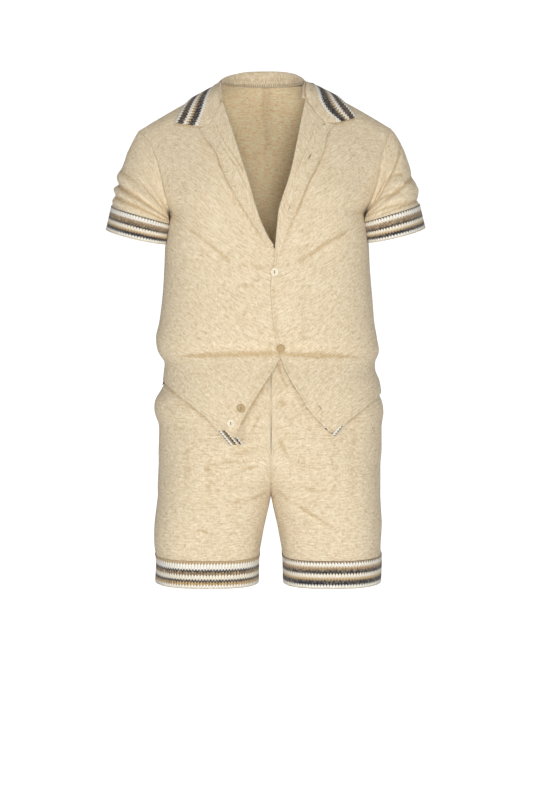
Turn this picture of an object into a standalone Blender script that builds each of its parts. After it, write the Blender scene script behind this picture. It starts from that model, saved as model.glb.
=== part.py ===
"""Short-sleeved open-neck shirt worn over matching shorts, kept in the shape it has when worn.

Every piece of cloth is an open surface worked out from the garment's own sizes and made a wall by
Solidify. Sizes are in millimetres in the tables and become metres when a mesh is made. +Z is up, the
garment faces -Y, and the origin is the middle of the neck, level with the neck ends of the shoulder
seams. "left" and "right" in the names of pieces are the wearer's; the columns "low_x" and "high_x"
of the tables are the sides towards -X (the wearer's right) and +X (the wearer's left).
"""

import math
from collections import namedtuple

import bmesh
import bpy
import numpy as np
from mathutils import Vector

MM = 0.001

# Walls and gaps
CLOTH = 1.2
TAPE = 1.0
WAISTBAND = 1.8
SEAM_GAP = 0.6
LAY_GAP = 0.35
TAPE_WIDTH = 43.0

# Shirt
NECK_HALF = 77.0
SHOULDER_SLOPE = 0.47
SHOULDER_DROOP = 0.0005
ARMPIT_Z = -228.0
SHOULDER_POINT_Z = -81.0
OVERLAP_LIFT = 3.1
LAPEL_LIFT = 2.3
LAPEL_ROLL = 2.2
LAPEL_CLEAR = 1.9
COLLAR_CLEAR = 2.3
SLEEVE_CLEAR = 4.0
CUFF_FORWARD = 6.0

# Shorts
CROTCH_X = 8.0
SHORTS_TOP_Z = -462.0
WAIST_TOP_Z = -424.0
CROTCH_Z = -737.0

# Buttons
BUTTON_R = 7.4
BUTTON_THICK = 2.8
BUTTON_HOLE_R = 1.0
BUTTON_HOLE_APART = 3.2

# How finely each piece is divided
FRONT_COLUMNS = 10
BACK_COLUMNS = 16
SLEEVE_RINGS = 8
SHORTS_COLUMNS = 11
COLLAR_STEPS = 2
LAPEL_SHARES = [0.12, 0.3, 0.52, 0.76, 1.0]
LAPEL_TURNS_DEG = [-42, -10, 30, 62]

Section = namedtuple("Section", "z low_x high_x front back power")
SHIRT_SECTIONS = [
    Section(-650, 200, 213, 136, 133, 2.4),
    Section(-600, 197, 211, 134, 132, 2.4),
    Section(-560, 193, 208, 131, 130, 2.4),
    Section(-527, 186.5, 203, 124, 126, 2.4),
    Section(-511, 185, 196.5, 119, 123, 2.4),
    Section(-495, 184, 196, 113, 120, 2.4),
    Section(-479, 194, 202, 108, 117, 2.4),
    Section(-453, 199, 199, 113, 116, 2.4),
    Section(-424, 193, 194, 116, 114, 2.4),
    Section(-380, 187, 190, 117, 113, 2.4),
    Section(-323, 183, 185, 118, 114, 2.4),
    Section(-285, 181, 183, 119, 116, 2.5),
    Section(-252, 176, 179, 119, 118, 2.65),
    Section(-228, 171.5, 174.5, 118, 120, 2.8),
    Section(-203, 190, 193, 117, 121, 2.65),
    Section(-170, 207, 210, 114, 121, 2.5),
    Section(-120, 232, 230, 111, 119, 2.35),
    Section(-60, 240, 236, 108, 114, 2.2),
    Section(40, 242, 238, 106, 112, 2.2),
]

Edge = namedtuple("Edge", "z x")
# The line on which each front ends: its free edge below the top button, its roll line above it.
RIGHT_FRONT_EDGE = [
    Edge(-621, -54), Edge(-594, -44.5), Edge(-557, -24), Edge(-508, 8), Edge(-479, 25),
    Edge(-458, 33), Edge(-380, 33), Edge(-322, 27), Edge(-300, 19), Edge(-288, 11), Edge(-253, -7),
    Edge(-217, -20), Edge(-170, -34), Edge(-128, -48), Edge(-74, -65), Edge(-45, -75),
    Edge(-25, -82), Edge(-12, -86), Edge(0, -89),
]
LEFT_FRONT_EDGE = [
    Edge(-613, 113), Edge(-600, 100), Edge(-579, 80), Edge(-545, 57), Edge(-516, 39), Edge(-479, 24),
    Edge(-439, 14), Edge(-392, 9), Edge(-345, 8), Edge(-320, 12), Edge(-300, 15.5), Edge(-251, 20.5),
    Edge(-222, 24), Edge(-200, 31), Edge(-165, 42), Edge(-115, 53), Edge(-74, 61), Edge(-45, 67),
    Edge(-25, 72), Edge(-12, 77), Edge(0, 83),
]
# Rows of each lapel from its top seam down: height on the roll line, free edge, and the sag of
# the row between them.
Lapel = namedtuple("Lapel", "roll_z x z sag")
RIGHT_LAPEL = [
    Lapel(-35.5, -113.5, -83.5, -12), Lapel(-41, -115, -87.5, -11), Lapel(-48, -110.5, -94, -10),
    Lapel(-60, -99.5, -108, -9), Lapel(-74, -90, -119, -8), Lapel(-88, -84.5, -130, -7),
    Lapel(-106, -79, -146, -6), Lapel(-130, -70, -168, -5), Lapel(-162, -55, -196, -4),
    Lapel(-196, -37, -226, -3), Lapel(-232, -17, -257, -1.5), Lapel(-266, -1, -281, 0),
    Lapel(-288, 5, -291, 0),
]
LEFT_LAPEL = [
    Lapel(-35, 115, -77.5, -8), Lapel(-40, 112.5, -82, -8), Lapel(-46.5, 107, -89, -8),
    Lapel(-57, 103, -98.5, -7), Lapel(-69, 101, -109, -6.5), Lapel(-83, 98.5, -121, -6),
    Lapel(-101, 94, -133, -5), Lapel(-123, 86, -149, -4), Lapel(-150, 74, -172, -3.5),
    Lapel(-180, 63.5, -197, -3), Lapel(-212, 52, -223, -2), Lapel(-242, 41, -248, -1),
    Lapel(-272, 30, -277, 0), Lapel(-302, 22, -305, 0),
]
Armhole = namedtuple("Armhole", "z low_x high_x")
ARMHOLE = [
    Armhole(-228, 171.5, 174.5), Armhole(-214, 174, 182), Armhole(-196, 179.5, 190),
    Armhole(-169, 186, 198), Armhole(-137, 197, 204), Armhole(-111, 208, 212),
    Armhole(-81, 228, 221),
]
# Rows of the fronts under the armhole: heights at the front edge and at the side seam.
Row = namedtuple("Row", "edge_z side_z")
RIGHT_FRONT_ROWS = [
    Row(-621, -527), Row(-608, -518), Row(-590, -509), Row(-566, -500), Row(-540, -492),
    Row(-512, -482), Row(-490, -470), Row(-478, -456), Row(-464, -440), Row(-440, -418),
    Row(-410, -392), Row(-380, -366), Row(-350, -340), Row(-322, -314), Row(-298, -290),
    Row(-276, -266), Row(-256, -250),
]
LEFT_FRONT_ROWS = [
    Row(-613, -549), Row(-602, -538), Row(-586, -526), Row(-564, -513), Row(-540, -500),
    Row(-512, -490), Row(-490, -478), Row(-478, -464), Row(-464, -446), Row(-440, -420),
    Row(-410, -392), Row(-380, -366), Row(-350, -340), Row(-322, -314), Row(-298, -290),
    Row(-276, -266), Row(-256, -250),
]
BACK_ROWS = [
    Row(-556, -538), Row(-530, -516), Row(-503, -492), Row(-477, -468), Row(-448, -440),
    Row(-414, -408), Row(-374, -370), Row(-334, -330), Row(-298, -295), Row(-268, -264),
]

Cuff = namedtuple("Cuff", "x y z half_width half_depth tilt start_out")
RIGHT_CUFF = Cuff(-230.5, -10, -270, 56.5, 65, 13.2, 0.22)
LEFT_CUFF = Cuff(229.5, -10, -267, 54.5, 65, 13.9, 0.36)

# Stations of the collar round the neck: height of the neck seam, crest of the roll, the inner
# edge of the tape and the outer edge of the fall.
Station = namedtuple(
    "Station", "seat_z roll_x roll_y roll_z inner_x inner_y inner_z edge_x edge_y edge_z")
COLLAR_STATIONS = [
    Station(-31, -77.5, -46, -28, -120, -58, -78, -163, -38, -71),
    Station(-19, -79, -32, -14, -112, -51, -59, -154, -32, -58),
    Station(-8, -79.5, -17, -3, -104, -38, -36, -144, -20, -42),
    Station(1.2, -80, -4, 4, -96, -14, -10, -132, -6, -27),
    Station(1.2, -79, 8, 8, -90, 8, 0, -122, 10, -19),
    Station(1.2, -74, 22, 13, -85, 27, 3, -110, 33, -22),
    Station(1.2, -62, 42, 20, -73, 52, 6, -88, 61, -26),
    Station(1.2, -37, 60, 27, -43, 71, 16, -52, 84, -16),
    Station(1.2, -8, 67, 29, -8, 77, 19, -8, 88, -14),
    Station(1.2, 22, 61, 28, 28, 72, 17, 36, 85, -15),
    Station(1.2, 46, 44, 23, 58, 53, 9, 74, 62, -24),
    Station(1.2, 57, 24, 16, 70, 29, 5, 98, 35, -20),
    Station(1.2, 63, 8, 10, 76, 9, 1, 110, 10, -17),
    Station(1.2, 65, -4, 3, 83, -14, -11, 124, -6, -25),
    Station(-8, 64.5, -17, -4, 90, -36, -33, 138, -19, -39),
    Station(-19, 63.5, -32, -15, 103, -47, -53, 150, -27, -51),
    Station(-31, 61.5, -47, -28, 126, -52, -71, 159, -33, -61),
]
# Where the seam between collar and lapel bends and where it ends, on each side.
Bend = namedtuple("Bend", "x0 z0 x1 z1 x2 z2")
COLLAR_BENDS = [
    Bend(-82, -40, -90, -57.8, -109, -79),
    Bend(74, -36.5, 84, -50.5, 108, -72),
]

ShortsSection = namedtuple("ShortsSection", "z low_x high_x front back fork gap")
SHORTS_SECTIONS = [
    ShortsSection(-893, 201, 207, 97, 106, 1, 23),
    ShortsSection(-850, 200, 208, 98, 106, 1, 22),
    ShortsSection(-832, 203, 207, 99, 107, 1, 19),
    ShortsSection(-788, 203, 209, 103, 110, 1, 11),
    ShortsSection(-755, 199, 207, 108, 114, 1, 3.5),
    ShortsSection(-737, 197, 206, 110, 116, 1, 0),
    ShortsSection(-729, 197, 206, 111, 117, 0.84, 0),
    ShortsSection(-716, 197, 206, 112, 118, 0.66, 0),
    ShortsSection(-700, 196, 206, 114, 120, 0.49, 0),
    ShortsSection(-680, 195, 206, 115, 122, 0.31, 0),
    ShortsSection(-655, 195, 208, 116, 124, 0.14, 0),
    ShortsSection(-625, 194, 208, 116, 125, 0.02, 0),
    ShortsSection(-612, 194, 208, 116, 125, 0, 0),
    ShortsSection(-583, 202, 211, 114, 124, 0, 0),
    ShortsSection(-566, 201, 208, 112, 122.4, 0, 0),
    ShortsSection(-545, 189.3, 197.3, 112, 119.6, 0, 0),
    ShortsSection(-525, 179, 190, 109, 116, 0, 0),
    ShortsSection(-495, 172, 182, 102, 109, 0, 0),
    ShortsSection(-462, 167, 174, 98, 104, 0, 0),
    ShortsSection(-420, 165, 171, 97, 102, 0, 0),
]
SHORTS_POWER = 2.5
THIGH_POWER = 3.0
SHORTS_ROWS = [
    -893, -872, -851, -820, -788, -760, -737, -727, -714, -698, -678, -652, -618, -590, -566,
    -545, -524, -496, -462,
]

# Largest folds: a trough (negative) or ridge between two points of the front view, in millimetres.
Fold = namedtuple("Fold", "x0 z0 x1 z1 width height")
FRONT_FOLDS = [
    Fold(170, -240, 118, -277, 11, -3.0),
    Fold(118, -277, 50, -312, 13, -3.4),
    Fold(160, -222, 96, -262, 16, 2.4),
    Fold(-168, -240, -112, -276, 12, -2.6),
    Fold(-112, -276, -60, -318, 15, -2.2),
    Fold(-182, -486, -60, -477, 7, -2.6),
    Fold(-60, -477, 20, -474, 6, -2.4),
    Fold(26, -474, 80, -478, 6, -2.2),
    Fold(80, -478, 190, -484, 8, -2.0),
    Fold(-150, -455, -70, -400, 20, 2.2),
    Fold(60, -470, 120, -420, 20, 2.0),
    Fold(20, -335, -110, -440, 18, 2.0),
    Fold(30, -340, 150, -405, 18, 1.8),
]
SHORTS_FOLDS = [
    Fold(20, -500, 34, -600, 9, -2.2),
    Fold(-8, -640, -70, -655, 10, -1.8),
    Fold(22, -620, 80, -690, 14, -2.0),
    Fold(-120, -580, -128, -800, 26, 1.8),
    Fold(110, -600, 124, -810, 26, 1.8),
    Fold(-60, -720, -40, -850, 18, -1.6),
    Fold(70, -710, 60, -850, 18, -1.6),
]
# Folds of a sleeve: angle round it (0 at the shoulder, 90 in front, 180 under the arm), share of
# its length, run of the share from the front to the outside, width as a share, and height.
SleeveFold = namedtuple("SleeveFold", "at_deg share rise width reach_deg height")
RIGHT_SLEEVE_FOLDS = [
    SleeveFold(40, 0.50, 0.16, 0.060, 100, 4.5),
    SleeveFold(40, 0.60, 0.16, 0.040, 100, -4.5),
    SleeveFold(40, 0.69, 0.14, 0.040, 95, 4.5),
    SleeveFold(50, 0.76, 0.10, 0.030, 95, -2.6),
]
LEFT_SLEEVE_FOLDS = [
    SleeveFold(30, 0.56, -0.06, 0.110, 75, 5.0),
    SleeveFold(60, 0.66, 0.10, 0.045, 95, -4.0),
    SleeveFold(95, 0.40, 0.30, 0.050, 60, -4.0),
]

# How far up between the armpit and the shoulder line each row of the upper body lies.
ARMHOLE_LIFTS = [0, 0.13, 0.27, 0.42, 0.57, 0.72, 0.85, 0.94, 0.983, 0.999, 1.0]

# The turned hem that hangs behind each front corner: two corners of its end and the run of its
# sides from there. The striped tape lies on its end.
HemTurn = namedtuple("HemTurn", "x0 z0 x1 z1 run_x run_z")
RIGHT_HEM_TURN = HemTurn(-66, -634, -37, -631, -58, 69)
LEFT_HEM_TURN = HemTurn(122, -621, 97, -601, 42, 49)
HEM_TURN_DEEP = 3.3
HEM_TAPE_DEEP = 1.75
HEM_TAPE_SHARE = 0.36

ButtonPlace = namedtuple("ButtonPlace", "name x z on_left")
BUTTONS = [
    ButtonPlace("button_top", 14, -332, True),
    ButtonPlace("button_waist", 25, -464, True),
    ButtonPlace("button_low", -44.5, -569, False),
    ButtonPlace("button_hem", -62, -595, False),
]

COLOURS = {
    "oatmeal_cloth": (0.72, 0.60, 0.42),
    "striped_tape": (0.62, 0.54, 0.44),
    "horn_button": (0.60, 0.48, 0.32),
}


def smooth_read(knots, values, at):
    """A smooth curve through the points (knots, values), read at the places `at`."""
    knots = np.asarray(knots, float)
    values = np.asarray(values, float)
    at = np.asarray(at, float)
    slopes = np.gradient(values, knots)
    i = np.clip(np.searchsorted(knots, at) - 1, 0, len(knots) - 2)
    step = knots[i + 1] - knots[i]
    t = np.clip((at - knots[i]) / step, 0.0, 1.0)
    start = (1 + 2 * t) * (1 - t) ** 2 * values[i] + t * (1 - t) ** 2 * step * slopes[i]
    end = t**2 * (3 - 2 * t) * values[i + 1] + t**2 * (t - 1) * step * slopes[i + 1]
    return start + end


def column(table, name, z):
    """One named column of a table that has a z column, read at heights z."""
    return smooth_read([row.z for row in table], [getattr(row, name) for row in table], z)


def side_column(side):
    return "low_x" if side < 0 else "high_x"


def shoulder_z(x):
    """Height of the shoulder line over the distance x from the middle."""
    out = np.abs(np.asarray(x, float)) - NECK_HALF
    return -(SHOULDER_SLOPE * out + SHOULDER_DROOP * out * np.abs(out))


def quarter_round(t):
    return np.sqrt(np.clip(1 - (1 - np.clip(t, 0, 1)) ** 2, 0, 1))


def front_fullness(drop):
    """Share of its full depth that the front has at a drop below the shoulder line."""
    drop = np.clip(drop, 0, None)
    return 0.25 * quarter_round(drop / 25) + 0.75 * (1 - (1 - np.clip(drop / 205, 0, 1)) ** 1.7)


def back_fullness(drop):
    drop = np.clip(drop, 0, None)
    return 0.35 * quarter_round(drop / 30) + 0.65 * (1 - (1 - np.clip(drop / 150, 0, 1)) ** 1.6)


def shirt_depth(x, z, facing):
    """Distance of the shirt's surface in front of (facing -1) or behind (+1) the plane y = 0."""
    x = np.asarray(x, float)
    z = np.asarray(z, float)
    half = np.where(x < 0, column(SHIRT_SECTIONS, "low_x", z), column(SHIRT_SECTIONS, "high_x", z))
    power = column(SHIRT_SECTIONS, "power", z)
    name = "front" if facing < 0 else "back"
    fullness = front_fullness if facing < 0 else back_fullness
    across = np.clip(1 - np.clip(np.abs(x) / half, 0, 1) ** power, 0, 1) ** (1 / power)
    return column(SHIRT_SECTIONS, name, z) * across * fullness(shoulder_z(x) - z)


def fold_height(folds, x, z):
    """Sum of the folds at points of the front view."""
    total = np.zeros(np.shape(x))
    for fold in folds:
        run = np.array([fold.x1 - fold.x0, fold.z1 - fold.z0], float)
        length = np.hypot(*run)
        along = ((x - fold.x0) * run[0] + (z - fold.z0) * run[1]) / length
        off = ((x - fold.x0) * run[1] - (z - fold.z0) * run[0]) / length
        share = np.clip(along / length, 0, 1)
        beyond = along - share * length
        fade = 0.35 + 0.65 * np.sin(math.pi * share)
        total += fold.height * fade * np.exp(-(off**2 + beyond**2) / fold.width**2)
    return total


def panel_rows(side, edge_table, rows, columns, facing):
    """The x and z of a shirt panel's points, row by row from its middle edge to the side.

    Under the armhole each row runs between the heights of the table; above it the rows rise
    towards the shoulder line and end on the armhole."""
    share = np.linspace(0, 1, columns + 1)
    half_name = side_column(side)
    plans = [(row.edge_z, row.side_z, None) for row in rows]
    neck_z = float(shoulder_z(edge_table[-1].x)) if edge_table else 0.0
    for lift in ARMHOLE_LIFTS:
        edge_z = ARMPIT_Z + (neck_z - ARMPIT_Z) * lift
        plans.append((edge_z, ARMPIT_Z + (SHOULDER_POINT_Z - ARMPIT_Z) * lift, lift))
    all_x, all_z = [], []
    for edge_z, outer_z, lift in plans:
        edge_x = float(column(edge_table, "x", edge_z)) if edge_table else 0.0
        outer_x = float(column(ARMHOLE if lift else SHIRT_SECTIONS, half_name, outer_z))
        half_edge = column(SHIRT_SECTIONS, half_name, edge_z)
        half_outer = column(SHIRT_SECTIONS, half_name, outer_z)
        ratio = float(np.clip(side * edge_x / half_edge, -0.95, 0.95))
        power = float(column(SHIRT_SECTIONS, "power", edge_z))
        turn_edge = math.asin(math.copysign(abs(ratio) ** (power / 2), ratio))
        power = float(column(SHIRT_SECTIONS, "power", outer_z))
        turn_outer = math.asin(min(1.0, (outer_x / half_outer) ** (power / 2)))
        turn = turn_edge + (turn_outer - turn_edge) * share
        z = edge_z + (outer_z - edge_z) * share
        for _ in range(5):
            half = column(SHIRT_SECTIONS, half_name, z)
            power = column(SHIRT_SECTIONS, "power", z)
            x = side * half * np.sign(turn) * np.abs(np.sin(turn)) ** (2 / power)
            # The two ends keep their own places; what lies between is stretched to fit.
            x = x + (edge_x - x[0]) * (1 - share) + (side * outer_x - x[-1]) * share
            across = (x - x[0]) / (x[-1] - x[0])
            if lift is None:
                z = edge_z + (outer_z - edge_z) * across
            else:
                z = ARMPIT_Z + (np.minimum(shoulder_z(x), neck_z) - ARMPIT_Z) * lift
        all_x.append(x)
        all_z.append(z)
    return np.array(all_x), np.array(all_z)


def grid_normals(points, closed=False):
    """Unit normals of a grid of points (row, column, xyz)."""
    along = np.gradient(points, axis=0)
    if closed:
        across = np.roll(points, -1, axis=1) - np.roll(points, 1, axis=1)
    else:
        across = np.gradient(points, axis=1)
    normal = np.cross(across, along)
    return normal / np.maximum(np.linalg.norm(normal, axis=2, keepdims=True), 1e-9)


def outward(points, normals, middle=(0.0, 0.0)):
    """The normals, all turned so that together they point away from the upright line at `middle`."""
    away = points[..., :2] - np.array(middle)
    return normals if (away * normals[..., :2]).sum() >= 0 else -normals


def moved(points, distance, middle=(0.0, 0.0), closed=False):
    """The grid moved out along its normals."""
    normals = outward(points, grid_normals(points, closed), middle)
    return points + normals * (np.zeros(points.shape[:2]) + distance)[..., None]


def overlap_lift(side, x, z):
    """How far the over front is held off by the under front."""
    if side < 0:
        return np.zeros(np.shape(x))
    rise = np.clip((np.asarray(z) + 130) / -95, 0, 1)
    return OVERLAP_LIFT * np.clip((95 - np.asarray(x)) / 45, 0, 1) * rise


def front_panel(side):
    """Middle surface of one front, as a grid from its edge to the side seam."""
    edge_table = RIGHT_FRONT_EDGE if side < 0 else LEFT_FRONT_EDGE
    rows = RIGHT_FRONT_ROWS if side < 0 else LEFT_FRONT_ROWS
    x, z = panel_rows(side, edge_table, rows, FRONT_COLUMNS, -1)
    depth = shirt_depth(x, z, -1)
    depth[: len(rows) + 1, -1] = 0.0
    depth[-1, :] = 0.0
    points = np.stack([x, -depth - SEAM_GAP / 2, z], axis=2)
    fade = np.linspace(1, 0, FRONT_COLUMNS + 1) ** 0.5
    height = fold_height(FRONT_FOLDS, x, z) * fade + overlap_lift(side, x, z)
    height[-1, :] = 0
    height[:, -1] = 0
    return moved(points, height)


def back_panel():
    """Middle surface of the back, as one grid from side seam to side seam."""
    halves = []
    for side in (-1, 1):
        x, z = panel_rows(side, None, BACK_ROWS, BACK_COLUMNS // 2, 1)
        depth = shirt_depth(x, z, 1)
        depth[: len(BACK_ROWS) + 1, -1] = 0.0
        depth[-1, np.abs(x[-1]) > NECK_HALF - 1] = 0.0
        halves.append(np.stack([x, depth + SEAM_GAP / 2, z], axis=2))
    return np.concatenate([halves[0][:, :0:-1], halves[1]], axis=1)


def refined(grid, times=3):
    """The grid with points added between its rows and columns, on its facets."""
    for axis in (0, 1):
        count = grid.shape[axis]
        at = np.linspace(0, count - 1, (count - 1) * times + 1)
        low = np.minimum(at.astype(int), count - 2)
        share = (at - low)[:, None, None] if axis == 0 else (at - low)[None, :, None]
        near, far = np.take(grid, low, axis), np.take(grid, low + 1, axis)
        grid = near + (far - near) * share
    return grid


def surface_samples(*grids):
    """Points and outward normals all over some panels."""
    places, normals = [], []
    for grid in grids:
        fine = refined(grid)
        places.append(fine.reshape(-1, 3))
        normals.append(outward(fine, grid_normals(fine)).reshape(-1, 3))
    return np.concatenate(places), np.concatenate(normals)


def rested(grid, samples, clear):
    """A grid whose facets would come nearer than `clear` to a sampled surface, moved off it."""
    places, normals = samples
    grid = grid.copy()
    rows, columns = grid.shape[:2]
    for _ in range(8):
        fine = refined(grid, 2)
        flat = fine.reshape(-1, 3)
        away = flat[:, None] - places[None]
        nearest = np.argmin((away**2).sum(axis=2), axis=1)
        height = (away[np.arange(len(flat)), nearest] * normals[nearest]).sum(axis=1)
        push = np.clip(clear - height, 0, None)
        if push.max() < 0.02:
            break
        push, normal = push.reshape(fine.shape[:2]), normals[nearest].reshape(fine.shape)
        wide_push = np.pad(push, 1)
        wide_normal = np.pad(normal, ((1, 1), (1, 1), (0, 0)))
        best = np.zeros((rows, columns))
        step = np.zeros(grid.shape)
        for di in (0, 1, 2):
            for dj in (0, 1, 2):
                near = wide_push[di: di + 2 * rows - 1: 2, dj: dj + 2 * columns - 1: 2]
                turn = wide_normal[di: di + 2 * rows - 1: 2, dj: dj + 2 * columns - 1: 2]
                step = np.where((near > best)[..., None], turn * near[..., None], step)
                best = np.maximum(best, near)
        grid += step * 0.8
    return grid


def new_object(name, mesh, material):
    obj = bpy.data.objects.new(name, mesh)
    obj.data.materials.append(MATERIALS[material])
    GARMENT.objects.link(obj)
    return obj


def wall(name, points, thickness, material, closed=False):
    """A cloth wall: the surface through a grid of points, thickened evenly by Solidify."""
    rows, columns = points.shape[:2]
    build = bmesh.new()
    verts = [[build.verts.new(Vector(p) * MM) for p in row] for row in points]
    last = columns if closed else columns - 1
    for i in range(rows - 1):
        for j in range(last):
            k = (j + 1) % columns
            build.faces.new((verts[i][j], verts[i][k], verts[i + 1][k], verts[i + 1][j]))
    mesh = bpy.data.meshes.new(name)
    build.to_mesh(mesh)
    build.free()
    mesh.shade_smooth()
    obj = new_object(name, mesh, material)
    solidify = obj.modifiers.new("wall", "SOLIDIFY")
    solidify.thickness = thickness * MM
    solidify.offset = 0.0
    return obj


def lapel(side, samples):
    """Middle surface of a turned-back lapel: it wraps the roll line and lies on the front."""
    table = RIGHT_LAPEL if side < 0 else LEFT_LAPEL
    edge_table = RIGHT_FRONT_EDGE if side < 0 else LEFT_FRONT_EDGE
    roll_z = np.array([row.roll_z for row in table], float)
    roll_x = column(edge_table, "x", roll_z)
    share = np.array(LAPEL_SHARES)
    free_x = np.array([row.x for row in table], float)
    free_z = np.array([row.z for row in table], float)
    sag = np.array([row.sag for row in table], float)
    x = roll_x[:, None] + (free_x - roll_x)[:, None] * share
    z = roll_z[:, None] + (free_z - roll_z)[:, None] * share
    z = z + sag[:, None] * 4 * share * (1 - share)
    base = np.stack([x, -shirt_depth(x, z, -1) - SEAM_GAP / 2, z], axis=2)
    normals = outward(base, grid_normals(base))
    flat = base + normals * (LAPEL_LIFT + overlap_lift(side, x, z))[..., None]
    edge = np.stack([roll_x, -shirt_depth(roll_x, roll_z, -1) - SEAM_GAP / 2, roll_z], axis=1)
    out = normals[:, 0]
    inward = edge - base[:, 1]
    inward -= out * (inward * out).sum(axis=1, keepdims=True)
    inward /= np.linalg.norm(inward, axis=1, keepdims=True)
    centre = edge + out * overlap_lift(side, roll_x, roll_z)[:, None]
    arc = []
    for turn_deg in LAPEL_TURNS_DEG:
        turn = math.radians(turn_deg)
        arc.append(centre + LAPEL_ROLL * (math.cos(turn) * inward + math.sin(turn) * out))
    flat = rested(flat, samples, LAPEL_CLEAR)
    return np.concatenate([np.stack(arc, axis=1), flat], axis=1)


def collar_surface(samples):
    """Middle surface of the collar: neck seam, stand, roll and fall, station by station."""
    rows = []
    for number, station in enumerate(COLLAR_STATIONS):
        seat_z, *places = station
        roll, inner, edge = np.array(places, float).reshape(3, 3)
        out = edge - roll
        out[2] = 0
        out /= np.linalg.norm(out)
        up = np.array([0, 0, 1.0])
        seat = roll + out * 1.0
        seat[2] = seat_z
        under_roll = roll - up * 2.0
        crown = roll + out * 2.2 + up * 0.8
        turned = roll + out * 5.0 - up * 1.6
        if number in (0, len(COLLAR_STATIONS) - 1):
            bend = COLLAR_BENDS[0 if number == 0 else 1]
            turned, first, second = [
                np.array([x, -float(shirt_depth(x, z, -1)) - LAPEL_LIFT, z])
                for x, z in np.reshape(bend, (3, 2))
            ]
        else:
            first, second = turned + (inner - turned) * 0.36, turned + (inner - turned) * 0.7
        rows.append([
            seat, (seat + under_roll) / 2, under_roll, crown, turned, first, second, inner,
            (inner + edge) / 2, edge,
        ])
    control = np.array(rows)
    knots = np.arange(len(control))
    at = np.linspace(0, len(control) - 1, (len(control) - 1) * COLLAR_STEPS + 1)
    grid = np.empty((len(at),) + control.shape[1:])
    for i in range(control.shape[1]):
        for j in range(3):
            grid[:, i, j] = smooth_read(knots, control[:, i, j], at)
    grid[:, 4:] = rested(grid[:, 4:], samples, COLLAR_CLEAR)
    return grid


def armhole_ring(front, back, side):
    """The points on which a sleeve starts, from the shoulder down the front and up the back."""
    rise = front[-len(ARMHOLE_LIFTS):, -1]
    back_edge = back[-len(ARMHOLE_LIFTS):, 0 if side < 0 else -1]
    down_front = rise[::-1].copy()
    up_back = back_edge[1:-1].copy()
    down_front[0, 1] = 0.0
    down_front[-1, 1] = 0.0
    return np.concatenate([down_front, up_back], axis=0)


def sleeve_surface(front, back, side, cuff, folds):
    """Middle surface of a sleeve, ring by ring from the armhole to the tape and the cuff."""
    start = armhole_ring(front, back, side)
    count = len(start)
    angle = np.linspace(0, 2 * math.pi, count, endpoint=False)
    under = np.sin(angle / 2) ** 2
    tilt = math.radians(cuff.tilt)
    wide = np.array([side * math.cos(tilt), 0, math.sin(tilt)])
    deep = np.array([0, -1.0, 0])
    axis = np.array([side * math.sin(tilt), 0, -math.cos(tilt)])
    centre = np.array([cuff.x, cuff.y, cuff.z])
    end = (
        centre
        + wide * cuff.half_width * np.cos(angle)[:, None]
        + deep * cuff.half_depth * np.sin(angle)[:, None]
        + axis * CUFF_FORWARD * np.sin(angle)[:, None]
    )
    tape_top = end - axis * (TAPE_WIDTH - 7 * under[:, None] ** 3)
    end, tape_top = keep_off_body(end, side), keep_off_body(tape_top, side, 30.0)
    run = tape_top - start
    length = np.maximum(np.linalg.norm(run, axis=1, keepdims=True), 1.0)
    out = np.array([side, 0, 0.0])
    blend = (cuff.start_out + (0.5 - cuff.start_out) * under)[:, None]
    leave = blend * out + (1 - blend) * run / length
    leave /= np.linalg.norm(leave, axis=1, keepdims=True)
    apart = 0.5 + 1.2 * under[:, None]
    first = start + (0.4 * out + 0.6 * leave) * apart + out * 0.6 * under[:, None] ** 4
    rings = []
    shares = np.linspace(0, 1, SLEEVE_RINGS + 1)
    for t in shares:
        ring = (1 + 2 * t) * (1 - t) ** 2 * first + t * (1 - t) ** 2 * leave * length * 0.9
        rings.append(ring + t * t * (3 - 2 * t) * tape_top + t * t * (t - 1) * axis * length * 0.9)
    rings += [(tape_top + end) / 2, end]
    grid = np.array(rings)
    spread = grid - grid.mean(axis=1, keepdims=True)
    spread /= np.linalg.norm(spread, axis=2, keepdims=True)
    height = np.zeros(grid.shape[:2])
    height[: SLEEVE_RINGS + 1] = sleeve_fold_height(folds, angle, shares)
    return keep_off_body(grid + spread * height[..., None], side)


def sleeve_fold_height(folds, angle, shares):
    degrees = np.degrees(angle)
    degrees = np.where(degrees > 180, degrees - 360, degrees)
    total = np.zeros((len(shares), len(angle)))
    for fold in folds:
        away = degrees - fold.at_deg
        reach = np.exp(-((away / fold.reach_deg) ** 2) * 1.4)
        line = fold.share + fold.rise * away / 90
        total += fold.height * reach * np.exp(-(((shares[:, None] - line) / fold.width) ** 2))
    fade = np.clip(shares / 0.12, 0, 1) * np.clip((1 - shares) / 0.15, 0, 1)
    return total * fade[:, None]


def keep_off_body(points, side, above=-1.5):
    """Points in the body of the shirt, up to a height over the armpit, moved out sideways."""
    x, y, z = points[..., 0], points[..., 1], points[..., 2]
    level = np.minimum(z, ARMPIT_Z)
    half = column(SHIRT_SECTIONS, side_column(side), level)
    power = column(SHIRT_SECTIONS, "power", level)
    front, back = column(SHIRT_SECTIONS, "front", level), column(SHIRT_SECTIONS, "back", level)
    deep = np.where(y < 0, front, back)
    body = half * np.clip(1 - np.clip(np.abs(y) / deep, 0, 1) ** power, 0, 1) ** (1 / power)
    pressed = np.where(z < ARMPIT_Z + above, np.maximum(side * x, body + SLEEVE_CLEAR), side * x)
    return np.stack([side * pressed, y, z], axis=-1)


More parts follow.
